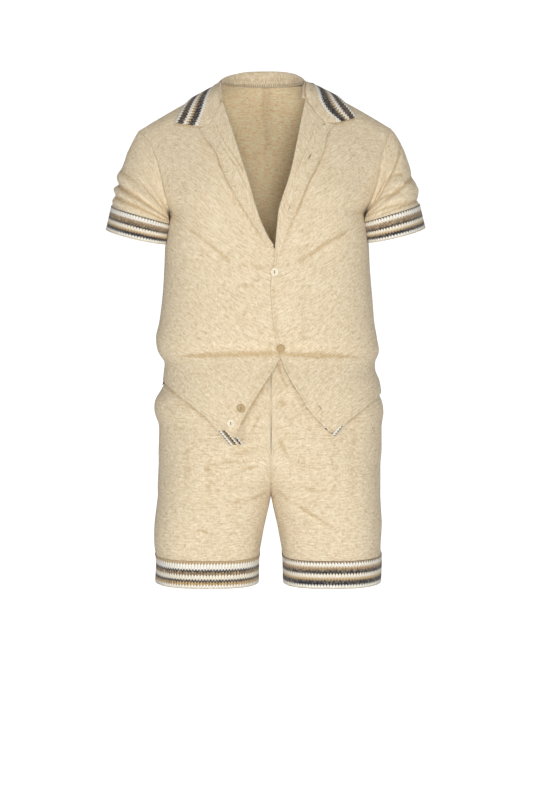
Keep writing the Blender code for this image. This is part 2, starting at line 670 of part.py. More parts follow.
def shorts_half(side, facing, rows=None, columns=SHORTS_COLUMNS):
    """Middle surface of a front (facing -1) or back (+1) of one leg, from the middle seam or
    inseam to the side seam."""
    z = np.array(SHORTS_ROWS if rows is None else rows, float)
    half = column(SHORTS_SECTIONS, side_column(side), z) - side * CROTCH_X
    depth = column(SHORTS_SECTIONS, "front" if facing < 0 else "back", z)
    fork = np.interp(z, [s.z for s in SHORTS_SECTIONS], [s.fork for s in SHORTS_SECTIONS])
    gap = np.interp(z, [s.z for s in SHORTS_SECTIONS], [s.gap for s in SHORTS_SECTIONS])
    # Each leg is a rounded section about its own centre, cut off above the crotch by the plane of
    # the middle seam: `cut` is the angle at which the seam meets it.
    cut = fork * math.pi / 2
    below = z < CROTCH_Z
    inner_reach = np.where(below, (half - gap) / 2, half / 2)
    centre = np.where(below, (half + gap) / 2, inner_reach * np.sin(cut) ** (2 / THIGH_POWER))
    near = np.where(below, gap, 0) + 0.35 + 0.75 * np.sin(cut) ** 2
    across = (1 - np.cos(math.pi * np.linspace(0, 1, columns + 1))) / 2
    x = near[:, None] + (half - near)[:, None] * across
    off = x - centre[:, None]
    inside = np.clip(-off / inner_reach[:, None], 0, 1)
    outside = np.clip(off / (half - centre)[:, None], 0, 1)
    rise = np.where(
        off < 0,
        (1 - inside**THIGH_POWER) ** (1 / THIGH_POWER),
        (1 - outside**SHORTS_POWER) ** (1 / SHORTS_POWER),
    )
    rise[below, 0] = 0.0
    y = facing * (depth[:, None] * rise + SEAM_GAP / 2)
    z_grid = np.broadcast_to(z[:, None], x.shape)
    grid = np.stack([CROTCH_X + side * x, y, z_grid], axis=2)
    if facing < 0:
        fade = np.clip(np.sin(math.pi * np.linspace(0, 1, columns + 1)), 0, 1) ** 0.5
        height = fold_height(SHORTS_FOLDS, grid[..., 0], grid[..., 2]) * fade
        height[0], height[-1] = 0, 0
        grid = grid + np.array([0, -1.0, 0]) * height[..., None]
    return grid


def leg_tape(front, back, rows):
    """The tape round a leg's hem, from the points of the front and the back, moved out."""
    band_front = front[:rows]
    band_back = back[:rows, ::-1]
    seam = (band_front[:, -1:] + band_back[:, :1]) / 2
    ring = np.concatenate([band_front[:, :-1], seam, band_back[:, 1:]], axis=1)
    middle = ring[..., :2].reshape(-1, 2).mean(axis=0)
    out = moved(ring, CLOTH / 2 + LAY_GAP + TAPE / 2, middle)
    out[..., 2] = ring[..., 2]
    out[0, :, 2] += 0.5
    return out


def waistband_surface():
    """Middle surface of the waistband, a closed ring over the top of the shorts."""
    heights = np.array([SHORTS_TOP_Z + LAY_GAP + 0.4, (SHORTS_TOP_Z + WAIST_TOP_Z) / 2, WAIST_TOP_Z])
    quarter = []
    for side, facing in ((1, -1), (1, 1), (-1, 1), (-1, -1)):
        grid = shorts_half(side, facing, heights, 8)
        grid[..., 1] -= facing * SEAM_GAP / 2
        grid[:, 0, 0] = CROTCH_X
        quarter.append(grid if side * facing < 0 else grid[:, ::-1])
    return np.concatenate([q[:, :-1] for q in quarter], axis=1)


def hem_turn_surface(turn, deep, inset, share):
    """A strip behind the corner of a front: on the shirt's surface, moved in by `deep`."""
    along = np.linspace(0, share, 7)[:, None]
    across = np.linspace(inset, 1 - inset, 4)[None]
    x = turn.x0 + (turn.x1 - turn.x0) * across + turn.run_x * along
    z = turn.z0 + (turn.z1 - turn.z0) * across + turn.run_z * along
    grid = np.stack([x, -shirt_depth(x, z, -1), z], axis=2)
    return moved(grid, -deep)


def seated(point, normal, radius, samples):
    """The point moved along the normal until a disc round it clears the sampled wall."""
    places, normals = samples
    near = np.linalg.norm(places - point, axis=1) < radius * 2
    height = (places[near] - point) @ normal
    aside = places[near] - point - height[:, None] * normal
    under = np.linalg.norm(aside, axis=1) < radius + 1.0
    return point + normal * (height[under].max() + CLOTH / 2 + LAY_GAP)


def button(place, samples):
    """A two-hole button with a rim, turned about its axis and seated on a front."""
    side = 1 if place.on_left else -1
    corners = []
    for x, z in ((place.x, place.z), (place.x + 6, place.z), (place.x, place.z + 6)):
        lift = fold_height(FRONT_FOLDS, x, z) + overlap_lift(side, x, z)
        corners.append(np.array([x, -float(shirt_depth(x, z, -1) + SEAM_GAP / 2 + lift), z]))
    a, b, c = corners
    normal = np.cross(b - a, c - a)
    normal = normal / np.linalg.norm(normal)
    normal = -normal if normal[1] > 0 else normal
    profile = [
        (0, 0.85), (BUTTON_R * 0.55, 0.85), (BUTTON_R * 0.72, 1.0), (BUTTON_R * 0.92, 0.9),
        (BUTTON_R, 0.55), (BUTTON_R * 0.9, 0.12), (BUTTON_R * 0.7, 0), (0, 0),
    ]
    mesh = bpy.data.meshes.new(place.name)
    corners = [Vector((radius, 0, share * BUTTON_THICK)) * MM for radius, share in profile]
    mesh.from_pydata(corners, [(i, i + 1) for i in range(len(corners) - 1)], [])
    obj = new_object(place.name, mesh, "horn_button")
    screw = obj.modifiers.new("turn", "SCREW")
    screw.steps = screw.render_steps = 16
    screw.use_merge_vertices = True
    screw.merge_threshold = 0.00005
    seat = seated(a, normal, BUTTON_R, samples)
    obj.location = Vector(seat) * MM
    facing = Vector(normal).to_track_quat("Z", "Y")
    obj.rotation_euler = facing.to_euler()
    for offset in (-1, 1):
        bpy.ops.mesh.primitive_cylinder_add(
            vertices=8, radius=BUTTON_HOLE_R * MM, depth=4 * BUTTON_THICK * MM)
        cutter = bpy.context.object
        cutter.name = f"{place.name}_hole_{offset}"
        for holder in cutter.users_collection:
            holder.objects.unlink(cutter)
        CUTTERS.objects.link(cutter)
        shift = facing @ Vector((0, offset * BUTTON_HOLE_APART / 2, BUTTON_THICK / 2))
        cutter.location = (Vector(seat) + shift) * MM
        cutter.rotation_euler = facing.to_euler()
        cutter.hide_render = True
        cutter.display_type = "WIRE"
        cut = obj.modifiers.new("hole", "BOOLEAN")
        cut.operation = "DIFFERENCE"
        cut.object = cutter
    return obj


def make_material(name, colour, roughness=0.9):
    material = bpy.data.materials.new(name)
    material.use_nodes = True
    shader = material.node_tree.nodes["Principled BSDF"]
    shader.inputs["Base Color"].default_value = (*colour, 1)
    shader.inputs["Roughness"].default_value = roughness
    shader.inputs["Metallic"].default_value = 0
    return material


def clear_scene():
    for obj in list(bpy.data.objects):
        bpy.data.objects.remove(obj)


def make_collection(name):
    collection = bpy.data.collections.new(name)
    bpy.context.scene.collection.children.link(collection)
    return collection


clear_scene()
GARMENT = make_collection("shirt_and_shorts")
CUTTERS = make_collection("cutters")
MATERIALS = {name: make_material(name, colour) for name, colour in COLOURS.items()}


def build_shirt():
    right, left, back = front_panel(-1), front_panel(1), back_panel()
    wall("shirt_front_right", right, CLOTH, "oatmeal_cloth")
    wall("shirt_front_left", left, CLOTH, "oatmeal_cloth")
    wall("shirt_back", back, CLOTH, "oatmeal_cloth")
    on_right, on_left = surface_samples(right), surface_samples(left)
    wall("lapel_right", lapel(-1, on_right), CLOTH, "oatmeal_cloth")
    wall("lapel_left", lapel(1, on_left), CLOTH, "oatmeal_cloth")
    collar = collar_surface(surface_samples(right, left, back))
    wall("collar", collar, CLOTH, "oatmeal_cloth")
    over = CLOTH / 2 + LAY_GAP + TAPE / 2
    wall("collar_tape", moved(collar, over)[:, 7:], TAPE, "striped_tape")
    for word, side, cuff, folds, turn in (
        ("right", -1, RIGHT_CUFF, RIGHT_SLEEVE_FOLDS, RIGHT_HEM_TURN),
        ("left", 1, LEFT_CUFF, LEFT_SLEEVE_FOLDS, LEFT_HEM_TURN),
    ):
        front = right if side < 0 else left
        sleeve = sleeve_surface(front, back, side, cuff, folds)
        wall(f"sleeve_{word}", sleeve, CLOTH, "oatmeal_cloth", closed=True)
        band = sleeve[SLEEVE_RINGS:]
        middle = band[..., :2].reshape(-1, 2).mean(axis=0)
        tape = moved(band, over, middle, closed=True)
        wall(f"cuff_tape_{word}", tape, TAPE, "striped_tape", closed=True)
        strip = hem_turn_surface(turn, HEM_TURN_DEEP, 0.0, 1.0)
        wall(f"hem_turn_{word}", strip, CLOTH, "oatmeal_cloth")
        strip = hem_turn_surface(turn, HEM_TAPE_DEEP, 0.1, HEM_TAPE_SHARE)
        wall(f"hem_tape_{word}", strip, TAPE, "striped_tape")
    for place in BUTTONS:
        button(place, on_left if place.on_left else on_right)


def build_shorts():
    for word, side in (("right", -1), ("left", 1)):
        front, back = shorts_half(side, -1), shorts_half(side, 1)
        wall(f"shorts_front_{word}", front, CLOTH, "oatmeal_cloth")
        wall(f"shorts_back_{word}", back, CLOTH, "oatmeal_cloth")
        wall(f"leg_tape_{word}", leg_tape(front, back, 3), TAPE, "striped_tape")
    wall("waistband", waistband_surface(), WAISTBAND, "oatmeal_cloth", closed=True)


build_shirt()
build_shorts()
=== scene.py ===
"""Short-sleeved open-neck shirt worn over matching shorts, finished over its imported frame.

Each piece of cloth is a fine surface worked out from the garment's own sizes, with its creases,
seams and rolled edges, and is made a wall by Solidify. Sizes in the tables are millimetres. +Z is
up, the garment faces -Y, and the origin is the middle of the neck. "left" and "right" are the
wearer's; "low_x" and "high_x" are the sides towards -X (the wearer's right) and +X.
"""

import functools
import math
from collections import namedtuple

import bmesh
import bpy
import numpy as np
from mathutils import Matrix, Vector
from mathutils.kdtree import KDTree


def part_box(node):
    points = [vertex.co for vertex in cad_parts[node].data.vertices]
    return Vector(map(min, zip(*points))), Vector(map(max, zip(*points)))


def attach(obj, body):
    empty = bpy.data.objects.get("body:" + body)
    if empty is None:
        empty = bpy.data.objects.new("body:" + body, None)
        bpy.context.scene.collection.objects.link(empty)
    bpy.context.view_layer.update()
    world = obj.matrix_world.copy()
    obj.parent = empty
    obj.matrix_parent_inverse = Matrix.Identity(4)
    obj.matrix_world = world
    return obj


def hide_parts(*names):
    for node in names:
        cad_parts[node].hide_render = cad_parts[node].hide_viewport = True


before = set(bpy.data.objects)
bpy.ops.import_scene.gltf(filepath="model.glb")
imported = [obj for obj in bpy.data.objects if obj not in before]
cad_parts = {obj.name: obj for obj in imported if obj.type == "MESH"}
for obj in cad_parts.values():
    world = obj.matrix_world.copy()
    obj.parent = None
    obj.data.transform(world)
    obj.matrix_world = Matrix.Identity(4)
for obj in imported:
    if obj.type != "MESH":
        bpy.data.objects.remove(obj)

bl_info = {
    "name": "Shirt and Shorts Set",
    "version": (1, 0, 0),
    "blender": (4, 5, 0),
    "location": "View3D > Sidebar > Garment",
    "description": "Builds a short-sleeved shirt and matching shorts in slubby cloth and knitted tape",
    "category": "Object",
}

MM = 0.001


# Sizes of the garment

# Walls, and the gaps between two layers.
CLOTH = 1.2
TAPE = 1.0
WAISTBAND = 1.8
SEAM_GAP = 0.6
LAY_GAP = 0.35
TAPE_OVER = CLOTH / 2 + LAY_GAP + TAPE / 2
# Distances of stitching from its edge.
HEM_STITCH_IN = 5.2
EDGE_STITCH_IN = 4.6
TAPE_STITCH_IN = 1.4
WAIST_STITCH_IN = 4.0
SIDE_SEAM_IN = 3.2
MIDDLE_SEAM_IN = 3.0
# Heights of the garment's parts.
SHOULDER_POINT_Z = -81.0
ARMPIT_Z = -228.0
ROLL_END_Z = -300.0
WAIST_TOP_Z = -424.0
SHORTS_TOP_Z = -462.0
CROTCH_Z = -737.0
LEG_TAPE_TOP_Z = -843.0
LEG_HEM_Z = -893.0
# Neck and shoulder line: half the neck's width, slope, and how the slope grows outwards.
NECK_HALF = 77.0
SHOULDER_SLOPE = 0.47
SHOULDER_DROOP = 0.0005
# How far upper layers stand off those under them.
OVERLAP_LIFT = 3.1
LAPEL_LIFT = 2.3
LAPEL_ROLL = 2.2
COLLAR_CLEAR = 2.3
SLEEVE_CLEAR = 4.0
HEM_TURN_DEEP = 3.3
HEM_TAPE_DEEP = 1.75
# Lengths and widths that set how many points a surface has.
ARMHOLE_STEP = 24.0
SLEEVE_LENGTH = 165.0
SLEEVE_RINGS = 8
PANEL_WIDTH = 250.0
BACK_COARSER = 1.15
# Other sizes.
TAPE_WIDTH = 43.0
HEM_TAPE_SHARE = 0.36
CUFF_FORWARD = 6.0
CROTCH_X = 8.0
# Buttons.
BUTTON_R = 7.4
BUTTON_THICK = 2.8
BUTTON_HOLE_R = 1.0
BUTTON_HOLE_APART = 3.2
HOLE_HEIGHT = 0.64 * BUTTON_THICK
BUTTON_THREAD_HEIGHT = 0.66 * BUTTON_THICK


def rows_of(kind, rows):
    """Rows of numbers with the named columns of their kind."""
    return [kind(*row) for row in rows]


Section = namedtuple("Section", "z low_x high_x front back power")
SHIRT_SECTIONS = rows_of(Section, [
    (-650, 200, 213, 136, 133, 2.4),
    (-600, 197, 211, 134, 132, 2.4),
    (-560, 193, 208, 131, 130, 2.4),
    (-527, 186.5, 203, 124, 126, 2.4),
    (-511, 185, 196.5, 119, 123, 2.4),
    (-495, 184, 196, 113, 120, 2.4),
    (-479, 194, 202, 108, 117, 2.4),
    (-453, 199, 199, 113, 116, 2.4),
    (-424, 193, 194, 116, 114, 2.4),
    (-380, 187, 190, 117, 113, 2.4),
    (-323, 183, 185, 118, 114, 2.4),
    (-285, 181, 183, 119, 116, 2.5),
    (-252, 176, 179, 119, 118, 2.65),
    (-228, 171.5, 174.5, 118, 120, 2.8),
    (-203, 190, 193, 117, 121, 2.65),
    (-170, 207, 210, 114, 121, 2.5),
    (-120, 232, 230, 111, 119, 2.35),
    (-60, 240, 236, 108, 114, 2.2),
    (40, 242, 238, 106, 112, 2.2),
])

Edge = namedtuple("Edge", "z x")
# The line on which each front ends: its free edge below the top button, its roll line above it.
RIGHT_FRONT_EDGE = rows_of(Edge, [
    (-621, -54), (-594, -44.5), (-557, -24), (-508, 8), (-479, 25),
    (-458, 33), (-380, 33), (-322, 27), (-300, 19), (-288, 11), (-253, -7),
    (-217, -20), (-170, -34), (-128, -48), (-74, -65), (-45, -75),
    (-25, -82), (-12, -86), (0, -89),
])
LEFT_FRONT_EDGE = rows_of(Edge, [
    (-613, 113), (-600, 100), (-579, 80), (-545, 57), (-516, 39), (-479, 24),
    (-439, 14), (-392, 9), (-345, 8), (-320, 12), (-300, 15.5), (-251, 20.5),
    (-222, 24), (-200, 31), (-165, 42), (-115, 53), (-74, 61), (-45, 67),
    (-25, 72), (-12, 77), (0, 83),
])
# Rows of each lapel from its top seam down: height on the roll line, free edge, and the sag of
# the row between them.
Lapel = namedtuple("Lapel", "roll_z x z sag")
RIGHT_LAPEL = rows_of(Lapel, [
    (-35.5, -113.5, -83.5, -12), (-41, -115, -87.5, -11), (-48, -110.5, -94, -10),
    (-60, -99.5, -108, -9), (-74, -90, -119, -8), (-88, -84.5, -130, -7),
    (-106, -79, -146, -6), (-130, -70, -168, -5), (-162, -55, -196, -4),
    (-196, -37, -226, -3), (-232, -17, -257, -1.5), (-266, -1, -281, 0),
    (-288, 5, -291, 0),
])
LEFT_LAPEL = rows_of(Lapel, [
    (-35, 115, -77.5, -8), (-40, 112.5, -82, -8), (-46.5, 107, -89, -8),
    (-57, 103, -98.5, -7), (-69, 101, -109, -6.5), (-83, 98.5, -121, -6),
    (-101, 94, -133, -5), (-123, 86, -149, -4), (-150, 74, -172, -3.5),
    (-180, 63.5, -197, -3), (-212, 52, -223, -2), (-242, 41, -248, -1),
    (-272, 30, -277, 0), (-302, 22, -305, 0),
])
Armhole = namedtuple("Armhole", "z low_x high_x")
ARMHOLE = rows_of(Armhole, [
    (-228, 171.5, 174.5), (-214, 174, 182), (-196, 179.5, 190),
    (-169, 186, 198), (-137, 197, 204), (-111, 208, 212),
    (-81, 228, 221),
])
# Rows of the fronts under the armhole: heights at the front edge and at the side seam.
Row = namedtuple("Row", "edge_z side_z")
UPPER_ROWS = [
    (-410, -392), (-380, -366), (-350, -340), (-322, -314), (-298, -290), (-276, -266),
    (-256, -250),
]
RIGHT_FRONT_ROWS = rows_of(Row, [
    (-621, -527), (-608, -518), (-590, -509), (-566, -500), (-540, -492),
    (-512, -482), (-490, -470), (-478, -456), (-464, -440), (-440, -418),
] + UPPER_ROWS)
LEFT_FRONT_ROWS = rows_of(Row, [
    (-613, -549), (-602, -538), (-586, -526), (-564, -513), (-540, -500),
    (-512, -490), (-490, -478), (-478, -464), (-464, -446), (-440, -420),
] + UPPER_ROWS)
BACK_ROWS = rows_of(Row, [
    (-556, -538), (-530, -516), (-503, -492), (-477, -468), (-448, -440),
    (-414, -408), (-374, -370), (-334, -330), (-298, -295), (-268, -264),
])

Cuff = namedtuple("Cuff", "x y z half_width half_depth tilt start_out")
RIGHT_CUFF = Cuff(-230.5, -10, -270, 56.5, 65, 13.2, 0.22)
LEFT_CUFF = Cuff(229.5, -10, -267, 54.5, 65, 13.9, 0.36)

# Stations of the collar round the neck: height of the neck seam, crest of the roll, the inner
# edge of the tape and the outer edge of the fall.
Station = namedtuple(
    "Station", "seat_z roll_x roll_y roll_z inner_x inner_y inner_z edge_x edge_y edge_z")
COLLAR_STATIONS = rows_of(Station, [
    (-31, -77.5, -46, -28, -120, -58, -78, -163, -38, -71),
    (-19, -79, -32, -14, -112, -51, -59, -154, -32, -58),
    (-8, -79.5, -17, -3, -104, -38, -36, -144, -20, -42),
    (1.2, -80, -4, 4, -96, -14, -10, -132, -6, -27),
    (1.2, -79, 8, 8, -90, 8, 0, -122, 10, -19),
    (1.2, -74, 22, 13, -85, 27, 3, -110, 33, -22),
    (1.2, -62, 42, 20, -73, 52, 6, -88, 61, -26),
    (1.2, -37, 60, 27, -43, 71, 16, -52, 84, -16),
    (1.2, -8, 67, 29, -8, 77, 19, -8, 88, -14),
    (1.2, 22, 61, 28, 28, 72, 17, 36, 85, -15),
    (1.2, 46, 44, 23, 58, 53, 9, 74, 62, -24),
    (1.2, 57, 24, 16, 70, 29, 5, 98, 35, -20),
    (1.2, 63, 8, 10, 76, 9, 1, 110, 10, -17),
    (1.2, 65, -4, 3, 83, -14, -11, 124, -6, -25),
    (-8, 64.5, -17, -4, 90, -36, -33, 138, -19, -39),
    (-19, 63.5, -32, -15, 103, -47, -53, 150, -27, -51),
    (-31, 61.5, -47, -28, 126, -52, -71, 159, -33, -61),
])
# Where the seam between collar and lapel bends and where it ends, on each side.
Bend = namedtuple("Bend", "x0 z0 x1 z1 x2 z2")
COLLAR_BENDS = rows_of(Bend, [
    (-82, -40, -90, -57.8, -109, -79),
    (74, -36.5, 84, -50.5, 108, -72),
])

ShortsSection = namedtuple("ShortsSection", "z low_x high_x front back fork gap")
SHORTS_SECTIONS = rows_of(ShortsSection, [
    (-893, 201, 207, 97, 106, 1, 23),
    (-850, 200, 208, 98, 106, 1, 22),
    (-832, 203, 207, 99, 107, 1, 19),
    (-788, 203, 209, 103, 110, 1, 11),
    (-755, 199, 207, 108, 114, 1, 3.5),
    (-737, 197, 206, 110, 116, 1, 0),
    (-729, 197, 206, 111, 117, 0.84, 0),
    (-716, 197, 206, 112, 118, 0.66, 0),
    (-700, 196, 206, 114, 120, 0.49, 0),
    (-680, 195, 206, 115, 122, 0.31, 0),
    (-655, 195, 208, 116, 124, 0.14, 0),
    (-625, 194, 208, 116, 125, 0.02, 0),
    (-612, 194, 208, 116, 125, 0, 0),
    (-583, 202, 211, 114, 124, 0, 0),
    (-566, 201, 208, 112, 122.4, 0, 0),
    (-545, 189.3, 197.3, 112, 119.6, 0, 0),
    (-525, 179, 190, 109, 116, 0, 0),
    (-495, 172, 182, 102, 109, 0, 0),
    (-462, 167, 174, 98, 104, 0, 0),
    (-420, 165, 171, 97, 102, 0, 0),
])
SHORTS_POWER = 2.5
THIGH_POWER = 3.0

# Largest folds: a trough (negative) or ridge between two points of the front view, in millimetres.
Fold = namedtuple("Fold", "x0 z0 x1 z1 width height")
FRONT_FOLDS = rows_of(Fold, [
    (170, -240, 118, -277, 11, -3.0),
    (118, -277, 50, -312, 13, -3.4),
    (160, -222, 96, -262, 16, 2.4),
    (-168, -240, -112, -276, 12, -2.6),
    (-112, -276, -60, -318, 15, -2.2),
    (-182, -486, -60, -477, 7, -2.6),
    (-60, -477, 20, -474, 6, -2.4),
    (26, -474, 80, -478, 6, -2.2),
    (80, -478, 190, -484, 8, -2.0),
    (-150, -455, -70, -400, 20, 2.2),
    (60, -470, 120, -420, 20, 2.0),
    (20, -335, -110, -440, 18, 2.0),
    (30, -340, 150, -405, 18, 1.8),
])
SHORTS_FOLDS = rows_of(Fold, [
    (20, -500, 34, -600, 9, -2.2),
    (-8, -640, -70, -655, 10, -1.8),
    (22, -620, 80, -690, 14, -2.0),
    (-120, -580, -128, -800, 26, 1.8),
    (110, -600, 124, -810, 26, 1.8),
    (-60, -720, -40, -850, 18, -1.6),
    (70, -710, 60, -850, 18, -1.6),
])
# Folds of a sleeve: angle round it (0 at the shoulder, 90 in front, 180 under the arm), share of
# its length, run of the share from the front to the outside, width as a share, and height.
SleeveFold = namedtuple("SleeveFold", "at_deg share rise width reach_deg height")
RIGHT_SLEEVE_FOLDS = rows_of(SleeveFold, [
    (40, 0.645, 0.10, 0.055, 100, 4.6),
    (40, 0.740, 0.08, 0.028, 100, -4.6),
    (40, 0.805, 0.06, 0.030, 95, 4.2),
    (50, 0.875, 0.04, 0.022, 95, -3.6),
    (40, 0.935, 0.02, 0.020, 80, 2.0),
])
LEFT_SLEEVE_FOLDS = rows_of(SleeveFold, [
    (20, 0.80, -0.03, 0.085, 75, 6.5),
    (60, 0.70, 0.10, 0.040, 80, -3.6),
    (40, 0.945, 0.00, 0.022, 80, -3.6),
    (95, 0.44, 0.30, 0.050, 60, -4.0),
])

# How far up between the armpit and the shoulder line each row of the upper body lies.
ARMHOLE_LIFTS = [0, 0.13, 0.27, 0.42, 0.57, 0.72, 0.85, 0.94, 0.983, 0.999, 1.0]

# The turned hem that hangs behind each front corner: two corners of its end and the run of its
# sides from there. The striped tape lies on its end.
HemTurn = namedtuple("HemTurn", "x0 z0 x1 z1 run_x run_z")
RIGHT_HEM_TURN = HemTurn(-66, -634, -37, -631, -58, 69)
LEFT_HEM_TURN = HemTurn(122, -621, 97, -601, 42, 49)

ButtonPlace = namedtuple("ButtonPlace", "name x z on_left")
BUTTONS = rows_of(ButtonPlace, [
    ("button_top", 14, -332, True),
    ("button_waist", 25, -464, True),
    ("button_low", -44.5, -569, False),
    ("button_hem", -62, -595, False),
])

# Creases: width and depth of a soft trough with a ridge beside it (a negative depth makes a ridge),
# and the line that it follows in the front view, as pairs of x and z.
Crease = namedtuple("Crease", "width depth line")
FRONT_CREASES = rows_of(Crease, [
    (5, 1.5, [(-162, -240), (-135, -259), (-108, -277), (-79, -301), (-56, -322)]),
    (9, 1.0, [(-150, -262), (-122, -290), (-92, -322)]),
    (5, 1.8, [(163, -243), (136, -266), (109, -281), (87, -295), (58, -315)]),
    (7, 1.2, [(128, -262), (92, -280), (58, -292), (40, -290)]),
    (8, 0.9, [(150, -268), (118, -300), (84, -332)]),
    (3.0, 1.6, [(-186, -482), (-129, -479), (-83, -478), (-32, -476), (8, -474)]),
    (3.0, 1.5, [(27, -474), (53, -478), (83, -481), (118, -480), (159, -483), (190, -484)]),
    (9, -1.0, [(-170, -466), (-110, -462), (-50, -462)]),
    (9, -0.9, [(60, -464), (110, -466), (160, -468)]),
    (4, 1.3, [(-180, -487), (-169, -506), (-157, -521)]),
    (5, 1.0, [(-172, -494), (-158, -516), (-140, -534)]),
    (4, 1.0, [(190, -494), (180, -510), (172, -528)]),
    (6, 0.7, [(14, -336), (-24, -352), (-66, -360)]),
    (6, 0.7, [(20, -338), (52, -352), (92, -358)]),
    (5, 0.6, [(12, -332), (-20, -322), (-52, -318)]),
    (5, 0.8, [(22, -463), (-12, -450), (-48, -444)]),
    (5, 0.7, [(30, -460), (64, -448), (96, -446)]),
    (7, 0.8, [(-176, -196), (-150, -190), (-122, -196)]),
    (6, 0.9, [(-166, -222), (-140, -216), (-112, -220)]),
    (8, 0.6, [(-196, -126), (-160, -150), (-140, -190)]),
    (6, 0.8, [(172, -226), (150, -206), (128, -196)]),
    (7, 0.7, [(150, -110), (120, -122), (96, -150)]),
    (6, 0.5, [(120, -92), (124, -122), (116, -158)]),
    (8, 0.6, [(-150, -100), (-124, -128), (-110, -170)]),
    (8, 0.7, [(-40, -280), (-70, -306), (-112, -330)]),
    (9, 0.7, [(-150, -360), (-128, -392), (-122, -430)]),
    (9, 0.6, [(146, -350), (128, -382), (120, -424)]),
    (8, 0.6, [(-30, -380), (-42, -410), (-38, -446)]),
    (8, 0.5, [(60, -380), (72, -410), (66, -446)]),
    (6, 0.5, [(-120, -500), (-96, -520), (-78, -552)]),
    (6, 0.5, [(60, -500), (84, -524), (100, -556)]),
    (7, 0.5, [(-40, -498), (-62, -520), (-70, -556)]),
])
BACK_CREASES = rows_of(Crease, [
    (7, 1.4, [(-168, -236), (-132, -262), (-96, -282), (-66, -306)]),
    (9, 0.9, [(-156, -262), (-120, -300), (-90, -342)]),
    (7, 1.3, [(170, -238), (136, -258), (100, -280), (60, -298)]),
    (9, 0.9, [(152, -270), (122, -306), (96, -350)]),
    (5, 1.2, [(-186, -462), (-128, -468), (-70, -466), (-20, -470)]),
    (5, 1.2, [(10, -468), (64, -464), (124, -470), (188, -464)]),
    (10, 1.1, [(-60, -40), (-66, -110), (-58, -190)]),
    (10, 1.0, [(62, -44), (70, -112), (60, -180)]),
    (9, 0.8, [(-12, -60), (-6, -130), (-16, -210)]),
    (9, 0.8, [(-110, -340), (-92, -390), (-98, -440)]),
    (9, 0.7, [(112, -330), (96, -386), (106, -436)]),
    (10, 0.7, [(-30, -320), (-20, -380), (-34, -440)]),
    (10, 0.7, [(36, -330), (28, -390), (40, -446)]),
    (7, 0.8, [(-196, -120), (-158, -134), (-124, -166)]),
    (7, 0.8, [(196, -118), (160, -138), (130, -172)]),
    (6, 0.6, [(-120, -492), (-90, -510), (-70, -534)]),
    (6, 0.6, [(110, -490), (84, -512), (62, -530)]),
])
RIGHT_LAPEL_CREASES = rows_of(Crease, [
    (1.5, 1.2, [(-92, -60), (-84, -84), (-70, -112), (-52, -138), (-36, -166), (-27, -196),
                (-12, -236)]),
    (1.4, -1.2, [(-93, -74), (-81, -99), (-66, -122), (-50, -146), (-35, -174), (-20, -208),
                       (-4, -246), (9, -280)]),
    (1.5, 1.2, [(-95, -78), (-84, -104), (-68, -128), (-52, -152), (-37, -180), (-22, -214),
                (-7, -250)]),
    (1.4, 0.9, [(-30, -190), (-20, -214), (-10, -238), (-2, -256)]),
    (4, 0.5, [(-110, -86), (-100, -100), (-90, -112)]),
])
LEFT_LAPEL_CREASES = rows_of(Crease, [
    (1.3, 1.2, [(88, -60), (80, -93), (66, -126), (52, -160), (39, -198), (28, -227),
                (20, -262)]),
    (1.6, -0.6, [(91, -62), (84, -95), (70, -129), (56, -163), (43, -201), (32, -231)]),
    (4, 0.6, [(108, -84), (96, -92), (88, -90)]),
    (4, 0.5, [(96, -120), (86, -140), (70, -168)]),
    (3, 0.4, [(58, -176), (46, -192), (34, -196)]),
])
SHORTS_CREASES = rows_of(Crease, [
    (2.2, 1.3, [(9, -482), (2, -520), (0, -548)]),
    (3.5, -1.1, [(14, -482), (12, -540), (12, -612)]),
    (4, 1.2, [(18, -486), (30, -520), (44, -548)]),
    (4, 0.9, [(26, -492), (46, -528), (56, -556)]),
    (5, 0.9, [(2, -560), (-18, -596), (-34, -624)]),
    (5, 0.9, [(12, -600), (34, -650), (52, -690)]),
    (6, 0.8, [(40, -566), (46, -610), (58, -640)]),
    (4, 0.9, [(4, -654), (-30, -664), (-72, -664), (-104, -672)]),
    (4, 0.8, [(2, -668), (-34, -676), (-62, -690)]),
    (5, 0.9, [(4, -720), (-30, -734), (-70, -738)]),
    (5, 0.9, [(12, -712), (44, -738), (84, -760), (128, -790)]),
    (6, 0.7, [(14, -736), (42, -772), (66, -812)]),
    (6, 0.6, [(20, -700), (60, -706), (102, -722)]),
    (8, 0.7, [(-150, -600), (-140, -660), (-146, -720)]),
    (7, 0.6, [(-110, -640), (-100, -700), (-112, -770)]),
    (8, 0.7, [(160, -600), (146, -668), (154, -740)]),
    (7, 0.6, [(112, -620), (122, -690), (110, -760)]),
    (6, 0.6, [(-176, -560), (-164, -590), (-160, -620)]),
    (5, 0.5, [(-140, -650), (-118, -632), (-96, -622)]),
    (5, 0.5, [(60, -636), (84, -652), (116, -650)]),
    (6, 0.5, [(-60, -780), (-74, -820), (-70, -846)]),
    (6, 0.5, [(90, -800), (84, -830), (92, -848)]),
    (5, 0.5, [(-150, -800), (-120, -786), (-92, -796)]),
    (5, 0.5, [(140, -690), (128, -672), (100, -668)]),
])
